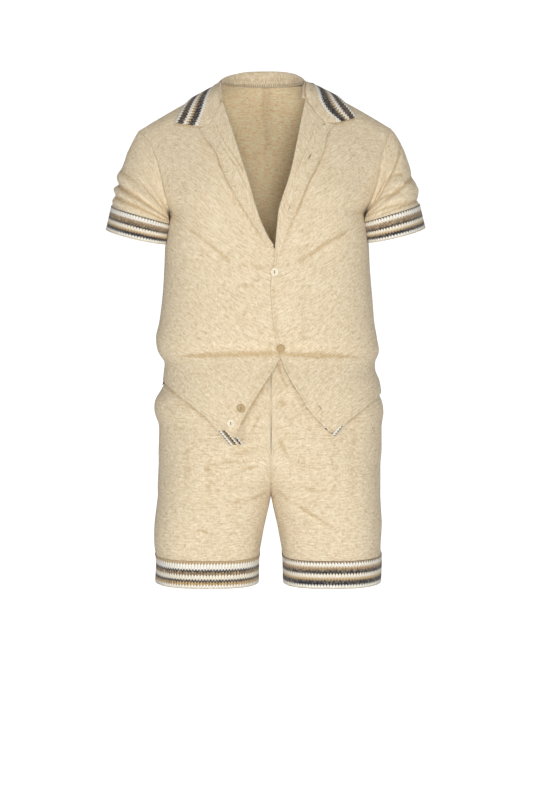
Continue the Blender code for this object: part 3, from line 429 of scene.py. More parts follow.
# Where the edge of an upper layer presses a narrow groove into the cloth under it.
PRESSED_FRONTS = rows_of(Crease, [
    (2.6, 1.5, [(-113, -84), (-113, -92), (-102, -108), (-92, -119), (-86, -131), (-81, -147),
                (-72, -169), (-57, -198), (-39, -228), (-18, -260), (-2, -284)]),
    (2.6, 1.3, [(111, -76), (110, -88), (105, -98), (103, -109), (100.5, -121), (96, -134),
                (88, -150), (76, -173), (65, -199), (54, -225), (43, -250), (30, -280)]),
    (2.6, 1.4, [(-166, -72), (-140, -76), (-112, -82)]),
    (2.6, 1.4, [(162, -62), (136, -68), (110, -75)]),
])
PRESSED_SHORTS = rows_of(Crease, [
    (3.0, 1.4, [(-190, -530), (-150, -556), (-110, -586), (-66, -624), (-52, -626)]),
    (3.0, 1.3, [(-46, -604), (-22, -560), (6, -514), (22, -486)]),
    (3.0, 1.3, [(28, -486), (42, -516), (60, -546), (84, -580), (112, -612)]),
    (3.0, 1.3, [(116, -618), (150, -592), (200, -553)]),
])
SLEEVE_DETAIL = {
    -1: rows_of(SleeveFold, [
        (70, 0.70, 0.09, 0.020, 80, 1.2), (70, 0.775, 0.07, 0.016, 80, -2.0),
        (80, 0.845, 0.05, 0.016, 80, 1.5), (80, 0.905, 0.04, 0.014, 80, -1.8),
        (120, 0.62, 0.16, 0.022, 45, -1.6), (120, 0.74, 0.12, 0.020, 45, -1.7),
        (110, 0.50, 0.20, 0.030, 50, 1.0), (20, 0.34, 0.12, 0.060, 60, 0.8),
        (-90, 0.56, -0.16, 0.045, 60, 2.0), (-90, 0.70, -0.14, 0.030, 60, -1.8),
    ]),
    1: rows_of(SleeveFold, [
        (85, 0.48, -0.34, 0.034, 60, -1.6), (85, 0.60, -0.30, 0.030, 60, 1.8),
        (95, 0.70, -0.22, 0.026, 60, -1.8), (95, 0.79, -0.16, 0.024, 60, 1.4),
        (110, 0.86, -0.10, 0.022, 50, -1.6), (60, 0.36, -0.30, 0.050, 50, 0.9),
        (15, 0.78, 0.02, 0.030, 50, -1.3), (40, 0.92, -0.04, 0.022, 60, -0.9),
        (-90, 0.52, 0.18, 0.045, 60, 2.0), (-90, 0.68, 0.15, 0.030, 60, -1.8),
    ]),
}

# Stripes of each tape from its inner or upper edge: share of the width at which one ends, its yarn
# and the yarn flecked into it. The edges of the stripes are zigzags.
ZIGZAG_PITCH = 5.4
Stripe = namedtuple("Stripe", "end yarn fleck")
STRIPES = {
    "cuff": rows_of(Stripe, [
        (0.05, "navy", "grey"), (0.22, "white", "cream"), (0.30, "tan", "brown"),
        (0.42, "brown", "tan"), (0.50, "navy", "grey"), (0.64, "cream", "white"),
        (0.72, "gold", "tan"), (0.86, "navy", "grey"), (0.97, "white", "cream"),
        (1.0, "tan", "cream"),
    ]),
    "right_leg": rows_of(Stripe, [
        (0.11, "tan", "gold"), (0.31, "white", "cream"), (0.40, "navy", "grey"),
        (0.51, "brown", "gold"), (0.67, "cream", "white"), (0.76, "navy", "grey"),
        (0.87, "gold", "brown"), (0.97, "white", "cream"), (1.0, "tan", "cream"),
    ]),
    "left_leg": rows_of(Stripe, [
        (0.07, "brown", "tan"), (0.20, "white", "cream"), (0.27, "tan", "gold"),
        (0.34, "brown", "tan"), (0.46, "navy", "grey"), (0.60, "cream", "white"),
        (0.68, "gold", "tan"), (0.86, "navy", "grey"), (0.97, "white", "cream"),
        (1.0, "tan", "cream"),
    ]),
    "collar": rows_of(Stripe, [
        (0.13, "white", "cream"), (0.38, "charcoal", "grey"), (0.47, "gold", "tan"),
        (0.62, "white", "cream"), (0.87, "umber", "brown"), (1.0, "white", "cream"),
    ]),
}
YARNS = {
    "white": "#F8F4EB", "cream": "#F0E6D0", "tan": "#C2A884", "gold": "#CDAE7C", "brown": "#85725C",
    "umber": "#54453C", "navy": "#34343C", "charcoal": "#37343A", "grey": "#857A6A",
}

# Buttonholes: x and z of the two ends of each, and whether it lies on the turned-back lapel.
Buttonhole = namedtuple("Buttonhole", "x0 z0 x1 z1 on_lapel")
BUTTONHOLES = rows_of(Buttonhole, [
    (96, -79, 103, -75, True), (77.5, -128, 71, -140, True),
    (42, -216, 37, -228, True), (88, -561, 97, -573, False),
])


# Smooth reading of the tables

def smooth_read(knots, values, at):
    """A smooth curve through the points (knots, values), read at the places `at`."""
    knots = np.asarray(knots, float)
    values = np.asarray(values, float)
    at = np.asarray(at, float)
    slopes = np.gradient(values, knots)
    i = np.clip(np.searchsorted(knots, at) - 1, 0, len(knots) - 2)
    step = knots[i + 1] - knots[i]
    t = np.clip((at - knots[i]) / step, 0.0, 1.0)
    start = (1 + 2 * t) * (1 - t) ** 2 * values[i] + t * (1 - t) ** 2 * step * slopes[i]
    end = t**2 * (3 - 2 * t) * values[i + 1] + t**2 * (t - 1) * step * slopes[i + 1]
    return start + end


def column(table, name, z):
    """One named column of a table that has a z column, read at heights z."""
    return smooth_read([row.z for row in table], [getattr(row, name) for row in table], z)


def side_column(side):
    return "low_x" if side < 0 else "high_x"


def half_width(table, x, z):
    """Half the width at heights z, on the side of each x."""
    return np.where(x < 0, column(table, "low_x", z), column(table, "high_x", z))


def cell_size():
    """Distance between the points of a surface."""
    return bpy.context.scene.garment_cloth.cell / MM


def crease_share():
    return bpy.context.scene.garment_cloth.crease_share


def lift_steps():
    """How many rows of points lie between two heights of the armhole's table."""
    return round(ARMHOLE_STEP / cell_size())


def between(values, steps):
    """The values with steps - 1 more put smoothly between each two."""
    at = np.linspace(0, len(values) - 1, (len(values) - 1) * steps + 1)
    return smooth_read(np.arange(len(values)), values, at)


def spaced(values, spacing, near=(0, 0.8, 1.8, 3.2)):
    """Places along a rising list of values: close together at its start, then evenly spaced."""
    length = values[-1] - values[0]
    even = np.linspace(5.0, length, max(2, round((length - 5.0) / spacing)))
    return values[0] + np.concatenate([near, even])


# Small wrinkles and creases

def smooth_noise(points, cell, seed):
    """Seeded noise from -1 to 1 at points, smooth, with features about `cell` apart."""
    table = np.random.default_rng(seed).uniform(-1, 1, (32, 32, 32))
    at = np.asarray(points, float) / cell
    low = np.floor(at).astype(int)
    t = at - low
    t = t * t * (3 - 2 * t)
    total = np.zeros(at.shape[:-1])
    for corner in np.ndindex(2, 2, 2):
        weight = np.prod(np.where(np.array(corner) == 1, t, 1 - t), axis=-1)
        place = (low + np.array(corner)) % 32
        total += weight * table[place[..., 0], place[..., 1], place[..., 2]]
    return total


def wrinkles(points, seed, lying=1.4):
    """Height of the small uneven wrinkles that slubby cloth keeps all over."""
    drift = np.stack([smooth_noise(points, 48, seed + k) for k in (1, 2, 3)], axis=-1)
    bent = (points + drift * 16) * np.array([1, 1, lying])
    broad = smooth_noise(points, 62, seed + 4)
    wide = np.clip(1 - np.abs(smooth_noise(bent, 30, seed + 5)) / 0.45, 0, 1) ** 2
    soft = smooth_noise(bent, 17, seed + 6)
    patchy = 0.5 + 0.5 * smooth_noise(points, 52, seed + 7)
    crinkle = smooth_noise(bent, 8, seed + 8)
    return 0.9 * broad + (0.3 * wide + 0.2 * soft) * patchy + 0.12 * soft + 0.11 * crinkle


def fold_height(folds, x, z):
    """Sum of the largest folds at points of the front view."""
    total = np.zeros(np.shape(x))
    for fold in folds:
        run = np.array([fold.x1 - fold.x0, fold.z1 - fold.z0], float)
        length = np.hypot(*run)
        along = ((x - fold.x0) * run[0] + (z - fold.z0) * run[1]) / length
        off = ((x - fold.x0) * run[1] - (z - fold.z0) * run[0]) / length
        share = np.clip(along / length, 0, 1)
        beyond = along - share * length
        fade = 0.35 + 0.65 * np.sin(math.pi * share)
        total += fold.height * fade * np.exp(-(off**2 + beyond**2) / fold.width**2)
    return total


def crease_height(creases, x, z):
    """Sum of the creases at points of the front view: each a soft trough with a ridge beside it."""
    total = np.zeros(np.shape(x))
    for number, crease in enumerate(creases):
        line = np.array(crease.line, float)
        runs = line[1:] - line[:-1]
        lengths = np.hypot(runs[:, 0], runs[:, 1])
        starts = np.cumsum(lengths) - lengths
        near = np.full(np.shape(x), 1e6)
        share = np.zeros(np.shape(x))
        turned = np.zeros(np.shape(x))
        for point, run, length, start in zip(line, runs, lengths, starts):
            off_x, off_z = x - point[0], z - point[1]
            kept = np.clip((off_x * run[0] + off_z * run[1]) / length, 0, length)
            off_x, off_z = off_x - run[0] * kept / length, off_z - run[1] * kept / length
            away = np.hypot(off_x, off_z)
            closer = away < near
            near = np.where(closer, away, near)
            share = np.where(closer, (start + kept) / lengths.sum(), share)
            turned = np.where(closer, np.sign(off_x * run[1] - off_z * run[0]), turned)
        fade = np.sin(math.pi * np.clip(share, 0.02, 0.98)) ** 0.55
        fade = fade * (0.8 + 0.2 * np.sin(9 * share + 2.1 * number))
        trough = np.exp(-((near / crease.width) ** 2))
        ridge = np.exp(-((near / crease.width - 1.7) ** 2)) * (0.3 + 0.25 * turned)
        total += crease.depth * fade * (ridge - trough)
    return total


def pressed(grooves, x, z):
    """Height, never above 0, of the grooves that the edges of upper layers press into the cloth."""
    return np.minimum(crease_height(grooves, x, z), 0)


# Grids of points: row, column, xyz

def unit(vectors):
    return vectors / np.maximum(np.linalg.norm(vectors, axis=-1, keepdims=True), 1e-9)


def middle_of(grid):
    """The upright line in the middle of a grid."""
    return grid[..., :2].reshape(-1, 2).mean(axis=0)


def rounded(share, power):
    """Height, from 1 to 0, of a rounded outline at a share of its half width."""
    return np.clip(1 - np.clip(share, 0, 1) ** power, 0, 1) ** (1 / power)


def grid_normals(points, closed=False):
    along = np.gradient(points, axis=0)
    if closed:
        across = np.roll(points, -1, axis=1) - np.roll(points, 1, axis=1)
    else:
        across = np.gradient(points, axis=1)
    return unit(np.cross(across, along))


def faces_out(points, normals, middle=(0.0, 0.0)):
    """Whether the normals together point away from the upright line at `middle`."""
    return ((points[..., :2] - np.array(middle)) * normals[..., :2]).sum() >= 0


def outward(points, normals, middle=(0.0, 0.0)):
    return normals if faces_out(points, normals, middle) else -normals


def moved(points, distance, middle=(0.0, 0.0), closed=False):
    """The grid moved out along its normals."""
    normals = outward(points, grid_normals(points, closed), middle)
    return points + normals * (np.zeros(points.shape[:2]) + distance)[..., None]


def run_lengths(points, axis):
    """Distance of each point from the first one of its row (axis 1) or column (axis 0)."""
    steps = np.linalg.norm(np.diff(points, axis=axis), axis=2)
    total = np.cumsum(steps, axis=axis)
    return np.concatenate([np.zeros_like(np.take(total, [0], axis)), total], axis=axis)


def averaged(field, reach, closed):
    """A grid of numbers, each replaced by the mean of those around it."""
    for axis in (0, 1):
        pad = [(0, 0), (0, 0)]
        pad[axis] = (reach + 1, reach)
        total = np.cumsum(np.pad(field, pad, mode="wrap" if closed and axis else "edge"), axis=axis)
        count = field.shape[axis]
        low, high = np.arange(count), np.arange(count) + 2 * reach + 1
        field = (np.take(total, high, axis) - np.take(total, low, axis)) / (2 * reach + 1)
    return field


def hollows(points, closed=False):
    """How hollow (up to 1) or crested (down to -1) the cloth is at each point of its grid; it sets
    where shade and highlight are painted on the cloth.
    """
    normals = outward(points, grid_normals(points, closed), middle_of(points))
    total = np.zeros(points.shape[:2])
    for reach, weight in ((1, 1.6), (3, 1.0)):
        mode = "wrap" if closed else "edge"
        wide = np.pad(points, ((0, 0), (reach, reach), (0, 0)), mode=mode)
        tall = np.pad(points, ((reach, reach), (0, 0), (0, 0)), mode="edge")
        around = wide[:, : -2 * reach] + wide[:, 2 * reach:] + tall[: -2 * reach] + tall[2 * reach:]
        around = around / 4
        total += weight * ((around - points) * normals).sum(axis=2)
    total = np.clip(total, -1.5, 1.5)
    total = np.clip((total - averaged(total, 7, closed)) / 0.9, -1, 1)
    return total * np.abs(total)


def rolled_edge(distance):
    """Height of a turned and stitched edge: a bead at the fold and a groove at the stitching."""
    bead = 0.42 * np.exp(-(((distance - 1.2) / 1.1) ** 2))
    return bead - 0.3 * np.exp(-(((distance - EDGE_STITCH_IN) / 1.3) ** 2))


def soft_step(t):
    t = np.clip(t, 0, 1)
    return t * t * (3 - 2 * t)


# The shirt's body

def shoulder_z(x):
    """Height of the shoulder line over the distance x from the middle."""
    out = np.abs(np.asarray(x, float)) - NECK_HALF
    return -(SHOULDER_SLOPE * out + SHOULDER_DROOP * out * np.abs(out))


def quarter_round(t):
    return np.sqrt(np.clip(1 - (1 - np.clip(t, 0, 1)) ** 2, 0, 1))


def fullness(drop, facing):
    """Share of its full depth that the front or back has at a drop below the shoulder line."""
    drop = np.clip(drop, 0, None)
    quick, near, deep, power = (0.25, 25, 205, 1.7) if facing < 0 else (0.35, 30, 150, 1.6)
    slow = 1 - (1 - np.clip(drop / deep, 0, 1)) ** power
    return quick * quarter_round(drop / near) + (1 - quick) * slow


def shirt_depth(x, z, facing):
    """Distance of the shirt's surface in front of (facing -1) or behind (+1) the plane y = 0."""
    x = np.asarray(x, float)
    z = np.asarray(z, float)
    half = half_width(SHIRT_SECTIONS, x, z)
    power = column(SHIRT_SECTIONS, "power", z)
    name = "front" if facing < 0 else "back"
    across = rounded(np.abs(x) / half, power)
    return column(SHIRT_SECTIONS, name, z) * across * fullness(shoulder_z(x) - z, facing)


def shirt_base(x, z, facing=-1):
    return np.stack([x, facing * (shirt_depth(x, z, facing) + SEAM_GAP / 2), z], axis=-1)


def shirt_normals(x, z, facing=-1):
    """Outward normals of the smooth shirt, over the places (x, z)."""
    across = shirt_base(x + 0.7, z, facing) - shirt_base(x - 0.7, z, facing)
    up = shirt_base(x, z + 0.7, facing) - shirt_base(x, z - 0.7, facing)
    return unit(np.cross(across, up) if facing < 0 else np.cross(up, across))


def overlap_lift(side, x, z):
    """How far the over front is held off by the under front."""
    if side < 0:
        return np.zeros(np.shape(x))
    rise = np.clip((np.asarray(z) + 130) / -95, 0, 1)
    return OVERLAP_LIFT * np.clip((95 - np.asarray(x)) / 45, 0, 1) * rise


def seam_fade(x, z):
    """1 on the open cloth and 0 on the side seams, armholes and shoulder seams."""
    side_x = half_width(SHIRT_SECTIONS, x, z)
    arm_x = half_width(ARMHOLE, x, z)
    outer = np.where(z < ARMPIT_Z, side_x, arm_x)
    across = np.clip((outer - np.abs(x)) / (outer - 20), 0, 1) ** 0.5
    return across * soft_step((shoulder_z(x) - z) / 26)


def front_height(side, x, z):
    """Height of a front over the smooth shirt: folds, creases, wrinkles and the overlap."""
    fade = seam_fade(x, z)
    height = fold_height(FRONT_FOLDS, x, z) * fade
    height = height + crease_height(FRONT_CREASES, x, z) * fade * crease_share()
    height = height + wrinkles(shirt_base(x, z), 40) * fade**1.5 * crease_share()
    return height + overlap_lift(side, x, z)


def on_front(side, x, z, lift=0.0):
    """Points and outward normals on a front, `lift` over its middle surface."""
    x, z = np.asarray(x, float), np.asarray(z, float)
    normals = shirt_normals(x, z)
    return shirt_base(x, z) + normals * (front_height(side, x, z) + lift)[..., None], normals


def panel_rows(side, edge_table, plans, share):
    """The x and z of a shirt panel's points, row by row from its middle edge to the side.

    A plan is a row's height at the edge and at the side and, above the armpit, how far up it lies.
    Under the armhole each row runs between its two heights; above it the rows rise towards the
    shoulder line and end on the armhole."""
    half_name = side_column(side)
    neck_z = float(shoulder_z(edge_table[-1].x)) if edge_table else 0.0
    all_x, all_z = [], []
    for edge_z, outer_z, lift in plans:
        edge_x = float(column(edge_table, "x", edge_z)) if edge_table else 0.0
        outer_x = float(column(ARMHOLE if lift else SHIRT_SECTIONS, half_name, outer_z))
        half_edge = column(SHIRT_SECTIONS, half_name, edge_z)
        half_outer = column(SHIRT_SECTIONS, half_name, outer_z)
        ratio = float(np.clip(side * edge_x / half_edge, -0.95, 0.95))
        power = float(column(SHIRT_SECTIONS, "power", edge_z))
        turn_edge = math.asin(math.copysign(abs(ratio) ** (power / 2), ratio))
        power = float(column(SHIRT_SECTIONS, "power", outer_z))
        turn_outer = math.asin(min(1.0, (outer_x / half_outer) ** (power / 2)))
        turn = turn_edge + (turn_outer - turn_edge) * share
        z = edge_z + (outer_z - edge_z) * share
        for _ in range(5):
            half = column(SHIRT_SECTIONS, half_name, z)
            power = column(SHIRT_SECTIONS, "power", z)
            x = side * half * np.sign(turn) * np.abs(np.sin(turn)) ** (2 / power)
            # The two ends keep their own places; what lies between is stretched to fit.
            x = x + (edge_x - x[0]) * (1 - share) + (side * outer_x - x[-1]) * share
            across = (x - x[0]) / (x[-1] - x[0])
            if lift is None:
                z = edge_z + (outer_z - edge_z) * across
            else:
                z = ARMPIT_Z + (np.minimum(shoulder_z(x), neck_z) - ARMPIT_Z) * lift
        all_x.append(x)
        all_z.append(z)
    return np.array(all_x), np.array(all_z)


def row_plans(rows, edge_table, spacing):
    """Plans of closely spaced rows from the hem to the shoulder."""
    neck_z = float(shoulder_z(edge_table[-1].x)) if edge_table else 0.0
    coarse_edge = [row.edge_z for row in rows] + [ARMPIT_Z]
    coarse_side = [row.side_z for row in rows] + [ARMPIT_Z]
    edge_z = spaced(coarse_edge, spacing)[:-1]
    side_z = smooth_read(coarse_edge, coarse_side, edge_z)
    plans = [(float(a), float(b), None) for a, b in zip(edge_z, side_z)]
    lifts = np.maximum.accumulate(np.minimum(between(ARMHOLE_LIFTS, lift_steps()), 1.0))
    for lift in lifts:
        row_z = ARMPIT_Z + (neck_z - ARMPIT_Z) * lift
        plans.append((row_z, ARMPIT_Z + (SHOULDER_POINT_Z - ARMPIT_Z) * lift, float(lift)))
    return plans, len(lifts)


@functools.cache
def front_panel(side):
    """Middle surface of one front, as a grid from its edge to the side seam."""
    edge_table = RIGHT_FRONT_EDGE if side < 0 else LEFT_FRONT_EDGE
    rows = RIGHT_FRONT_ROWS if side < 0 else LEFT_FRONT_ROWS
    plans, risen = row_plans(rows, edge_table, cell_size())
    even = np.linspace(0.026, 1, round(PANEL_WIDTH / cell_size()))
    share = np.concatenate([[0, 0.003, 0.007, 0.012, 0.018], even])
    x, z = panel_rows(side, edge_table, plans, share)
    points = shirt_base(x, z)
    points[: 1 - risen, -1, 1] = -SEAM_GAP / 2
    points[-1, :, 1] = -SEAM_GAP / 2
    normals = shirt_normals(x, z)
    height = front_height(side, x, z)
    hem = run_lengths(points, 0)
    free = run_lengths(points, 1)
    height += rolled_edge(free) * soft_step((shoulder_z(x) - z) / 30)
    height += rolled_edge(hem) * seam_fade(x, z) * (z < ARMPIT_Z)
    height += pressed(PRESSED_FRONTS, x, z)
    height[-1, :] = 0
    height[:, -1] = 0
    return points + normals * height[..., None]


@functools.cache
def back_panel():
    """Middle surface of the back, as one grid from side seam to side seam."""
    cell = cell_size() * BACK_COARSER
    plans, risen = row_plans(BACK_ROWS, None, cell)
    share = np.linspace(0, 1, round(PANEL_WIDTH / cell) + 1)
    halves = []
    for side in (-1, 1):
        x, z = panel_rows(side, None, plans, share)
        points = shirt_base(x, z, 1)
        points[: 1 - risen, -1, 1] = SEAM_GAP / 2
        points[-1, np.abs(x[-1]) > NECK_HALF - 1, 1] = SEAM_GAP / 2
        fade = seam_fade(x, z)
        # The hem lies on the seat of the shorts, so it keeps its place.
        settled = soft_step((z - plans[0][0] - 12) / 40)
        height = crease_height(BACK_CREASES, x, z) * fade * settled
        height = (height + wrinkles(points, 60) * fade**1.5 * settled) * crease_share()
        height += np.clip(rolled_edge(run_lengths(points, 0)), 0, 1) * fade * (z < ARMPIT_Z)
        height[-1, :] = 0
        height[:, -1] = 0
        halves.append(points + shirt_normals(x, z, 1) * height[..., None])
    return np.concatenate([halves[0][:, :0:-1], halves[1]], axis=1)


# Lapels and collar

def lapel_plan(side):
    """Places (x, z) of a lapel, row by row from the roll line to its free edge, and its sizes."""
    table = RIGHT_LAPEL if side < 0 else LEFT_LAPEL
    edge_table = RIGHT_FRONT_EDGE if side < 0 else LEFT_FRONT_EDGE
    roll_z, free_x, free_z, sag = [
        between([getattr(row, name) for row in table], 9) for name in ("roll_z", "x", "z", "sag")]
    roll_x = column(edge_table, "x", roll_z)
    share = np.concatenate([[0.06], np.linspace(0.1, 0.95, 52), [0.962, 0.974, 0.986, 1.0]])
    x = roll_x[:, None] + (free_x - roll_x)[:, None] * share
    z = roll_z[:, None] + (free_z - roll_z)[:, None] * share
    return roll_x, roll_z, x, z + sag[:, None] * 4 * share * (1 - share)


@functools.cache
def lapel(side):
    """Middle surface of a turned-back lapel: it wraps the roll line and lies on the front."""
    roll_x, roll_z, x, z = lapel_plan(side)
    flat, normals = on_front(side, x, z)
    creases = RIGHT_LAPEL_CREASES if side < 0 else LEFT_LAPEL_CREASES
    to_edge = run_lengths(flat[:, ::-1], 1)[:, ::-1]
    taper = np.clip(to_edge[:, :1] / 20, 0.2, 1)
    own = np.clip(crease_height(creases, x, z), -0.8, 1.8) + 0.35 * taper
    own = own + 0.3 * smooth_noise(flat, 34, 90) * taper + rolled_edge(to_edge) * taper
    # The free edge curls away from the front.
    own = own + 2.4 * np.exp(-((to_edge / 9) ** 2)) * taper
    flat = flat + normals * (LAPEL_LIFT + own)[..., None]
    edge, out = on_front(side, roll_x, roll_z)
    inward = shirt_base(roll_x, roll_z) - shirt_base(x[:, 3], z[:, 3])
    inward -= out * (inward * out).sum(axis=1, keepdims=True)
    inward = unit(inward)
    arc = []
    for turn_deg in range(-42, 85, 14):
        turn = math.radians(turn_deg)
        arc.append(edge + LAPEL_ROLL * (math.cos(turn) * inward + math.sin(turn) * out))
    grid = np.concatenate([np.stack(arc, axis=1), flat[:, 1:]], axis=1)
    # The top runs on a little way under the end of the collar, which covers its raw edge.
    normals = outward(grid, grid_normals(grid))[0]
    ahead = unit(grid[0] - grid[1])
    tucked = [
        grid[0] + ahead * run - normals * sink
        for run, sink in ((3.4, 1.1), (2.2, 1.1), (1.0, 0.7))]
    return np.concatenate([tucked, grid])


def kept_clear(grid, panels, clear, rounds=4):
    """A grid whose points would come nearer than `clear` to some panels, moved off them."""
    places = np.concatenate([panel.reshape(-1, 3) for panel in panels])
    normals = np.concatenate(
        [outward(panel, grid_normals(panel)).reshape(-1, 3) for panel in panels])
    tree = KDTree(len(places))
    for number, place in enumerate(places):
        tree.insert(place, number)
    tree.balance()
    grid = grid.copy()
    flat = grid.reshape(-1, 3)
    for _ in range(rounds):
        nearest = np.array([tree.find(point)[1] for point in flat])
        height = ((flat - places[nearest]) * normals[nearest]).sum(axis=1)
        push = np.clip(clear - height, 0, None)
        flat += normals[nearest] * push[:, None] * 0.9
    return grid


# Which line of the collar is the tape's inner edge, the steps between two of its lines and between
# two stations, and the heights of the two rows of the neck seam over its foot.
COLLAR_FALL = 7
COLLAR_STEPS = 5
STATION_STEPS = 8
NECK_SEAM_RISES = (2.2, 4.4)


@functools.cache
def collar_surface():
    """Middle surface of the collar: neck seam, stand, roll and fall, station by station."""
    rows = []
    for number, station in enumerate(COLLAR_STATIONS):
        seat_z, *places = station
        roll, inner, edge = np.array(places, float).reshape(3, 3)
        out = edge - roll
        out[2] = 0
        out /= np.linalg.norm(out)
        up = np.array([0, 0, 1.0])
        seat = roll + out * 1.0
        seat[2] = seat_z
        under_roll = roll - up * 2.0
        crown = roll + out * 2.2 + up * 0.8
        turned = roll + out * 5.0 - up * 1.6
        if number in (0, len(COLLAR_STATIONS) - 1):
            bend = COLLAR_BENDS[0 if number == 0 else 1]
            turned, first, second = [
                np.array([x, -float(shirt_depth(x, z, -1)) - LAPEL_LIFT, z])
                for x, z in np.reshape(bend, (3, 2))
            ]
        else:
            first, second = turned + (inner - turned) * 0.36, turned + (inner - turned) * 0.7
        rows.append([
            seat, (seat + under_roll) / 2, under_roll, crown, turned, first, second, inner,
            (inner + edge) / 2, edge,
        ])
    control = np.array(rows)
    at = np.linspace(0, len(control) - 1, (len(control) - 1) * STATION_STEPS + 1)
    long = np.empty((len(at),) + control.shape[1:])
    for i in range(control.shape[1]):
        for j in range(3):
            long[:, i, j] = smooth_read(np.arange(len(control)), control[:, i, j], at)
    count = control.shape[1]
    grid = np.empty((len(at), (count - 1) * COLLAR_STEPS + 1, 3))
    for i, row in enumerate(long):
        knots = np.concatenate([[0], np.cumsum(np.linalg.norm(np.diff(row, axis=0), axis=1))])
        places = np.interp(np.linspace(0, count - 1, grid.shape[1]), np.arange(count), knots)
        for j in range(3):
            grid[i, :, j] = smooth_read(knots, row[:, j], places)
    fall = grid[:, 4 * COLLAR_STEPS:]
    waves = 0.5 * smooth_noise(fall, 40, 71) + 0.25 * smooth_noise(fall, 18, 72)
    normals = outward(fall, grid_normals(fall))
    fade = soft_step(np.arange(fall.shape[1]) / 6)[None]
    fall = fall + normals * (waves * fade)[..., None]
    grid[:, 4 * COLLAR_STEPS:] = kept_clear(
        fall, (front_panel(-1), front_panel(1), back_panel()), COLLAR_CLEAR + 0.5)
    return grid


# Sleeves

def armhole_ring(side):
    """The points on which a sleeve starts, from the shoulder down the front and up the back."""
    risen = len(between(ARMHOLE_LIFTS, lift_steps()))
    rise = front_panel(side)[-risen:, -1]
    back_edge = back_panel()[-risen:, 0 if side < 0 else -1]
    down_front = rise[::-1].copy()
    up_back = back_edge[1:-1].copy()
    down_front[0, 1] = 0.0
    down_front[-1, 1] = 0.0
    return np.concatenate([down_front, up_back], axis=0)


def keep_off_body(points, side, above=-1.5):
    """Points in the body of the shirt, up to a height over the armpit, moved out sideways."""
    x, y, z = points[..., 0], points[..., 1], points[..., 2]
    level = np.minimum(z, ARMPIT_Z)
    half = column(SHIRT_SECTIONS, side_column(side), level)
    power = column(SHIRT_SECTIONS, "power", level)
    front, back = column(SHIRT_SECTIONS, "front", level), column(SHIRT_SECTIONS, "back", level)
    deep = np.where(y < 0, front, back)
    body = half * rounded(np.abs(y) / deep, power)
    clear = 1.4 + (SLEEVE_CLEAR - 1.4) * soft_step((ARMPIT_Z - z) / 80)
    pressed = np.where(z < ARMPIT_Z + above, np.maximum(side * x, body + clear), side * x)
    return np.stack([side * pressed, y, z], axis=-1)


def sleeve_fold_height(folds, angle, shares):
    degrees = np.degrees(angle)
    degrees = np.where(degrees > 180, degrees - 360, degrees)
    total = np.zeros((len(shares), len(angle)))
    for fold in folds:
        away = (degrees - fold.at_deg + 180) % 360 - 180
        reach = np.exp(-((away / fold.reach_deg) ** 2) * 1.4)
        line = fold.share + fold.rise * away / 90
        total += fold.height * reach * np.exp(-(((shares[:, None] - line) / fold.width) ** 2))
    fade = np.clip(shares / 0.12, 0, 1) * np.clip((1 - shares) / 0.05, 0, 1)
    return total * fade[:, None]


@functools.cache
def sleeve_surface(side):
    """Middle surface of a sleeve, ring by ring from the armhole to the tape and the cuff."""
    cuff = RIGHT_CUFF if side < 0 else LEFT_CUFF
    folds = RIGHT_SLEEVE_FOLDS if side < 0 else LEFT_SLEEVE_FOLDS
    start = armhole_ring(side)
    angle = np.linspace(0, 2 * math.pi, len(start), endpoint=False)
    under = np.sin(angle / 2) ** 2
    tilt = math.radians(cuff.tilt)
    wide = np.array([side * math.cos(tilt), 0, math.sin(tilt)])
    deep = np.array([0, -1.0, 0])
    axis = np.array([side * math.sin(tilt), 0, -math.cos(tilt)])
    end = (
        np.array([cuff.x, cuff.y, cuff.z])
        + wide * cuff.half_width * np.cos(angle)[:, None]
        + deep * cuff.half_depth * np.sin(angle)[:, None]
        + axis * CUFF_FORWARD * np.sin(angle)[:, None]
    )
    tape_top = end - axis * (TAPE_WIDTH - 7 * under[:, None] ** 3)
    end, tape_top = keep_off_body(end, side), keep_off_body(tape_top, side, 30.0)
    run = tape_top - start
    length = np.maximum(np.linalg.norm(run, axis=1, keepdims=True), 1.0)
    out = np.array([side, 0, 0.0])
    blend = (cuff.start_out + (0.5 - cuff.start_out) * under)[:, None]
    leave = blend * out + (1 - blend) * run / length
    leave = unit(leave)
    apart = 0.3 + 0.9 * under[:, None]
    first = start + (0.4 * out + 0.6 * leave) * apart + out * 0.6 * under[:, None] ** 4
    shares = np.linspace(0, 1, round(SLEEVE_LENGTH / cell_size()) + 1)
    rings = []
    for t in shares:
        ring = (1 + 2 * t) * (1 - t) ** 2 * first + t * (1 - t) ** 2 * leave * length * 0.9
        rings.append(ring + t * t * (3 - 2 * t) * tape_top + t * t * (t - 1) * axis * length * 0.9)
    for t in np.linspace(0, 1, SLEEVE_RINGS * 2)[1:]:
        rings.append(tape_top + (end - tape_top) * t)
    grid = np.array(rings)
    spread = unit(grid - grid.mean(axis=1, keepdims=True))
    height = np.zeros(grid.shape[:2])
    body = slice(0, len(shares))
    height[body] = sleeve_fold_height(folds, angle, shares)
    detail = sleeve_fold_height(SLEEVE_DETAIL[side], angle, shares)
    fade = soft_step(shares / 0.1) * soft_step((1 - shares) / 0.1)
    small = wrinkles(grid[body], 110 + side, 1.0) * fade[:, None]
    height[body] += (detail + small) * crease_share()
    # The armhole seam stands up a little from the sleeve head.
    height[body] += 0.5 * np.exp(-(((shares * SLEEVE_LENGTH - 1.5) / 1.6) ** 2))[:, None]
    return keep_off_body(grid + spread * height[..., None], side), len(shares) - 1


# Shorts

SHORTS_COLUMNS = 72


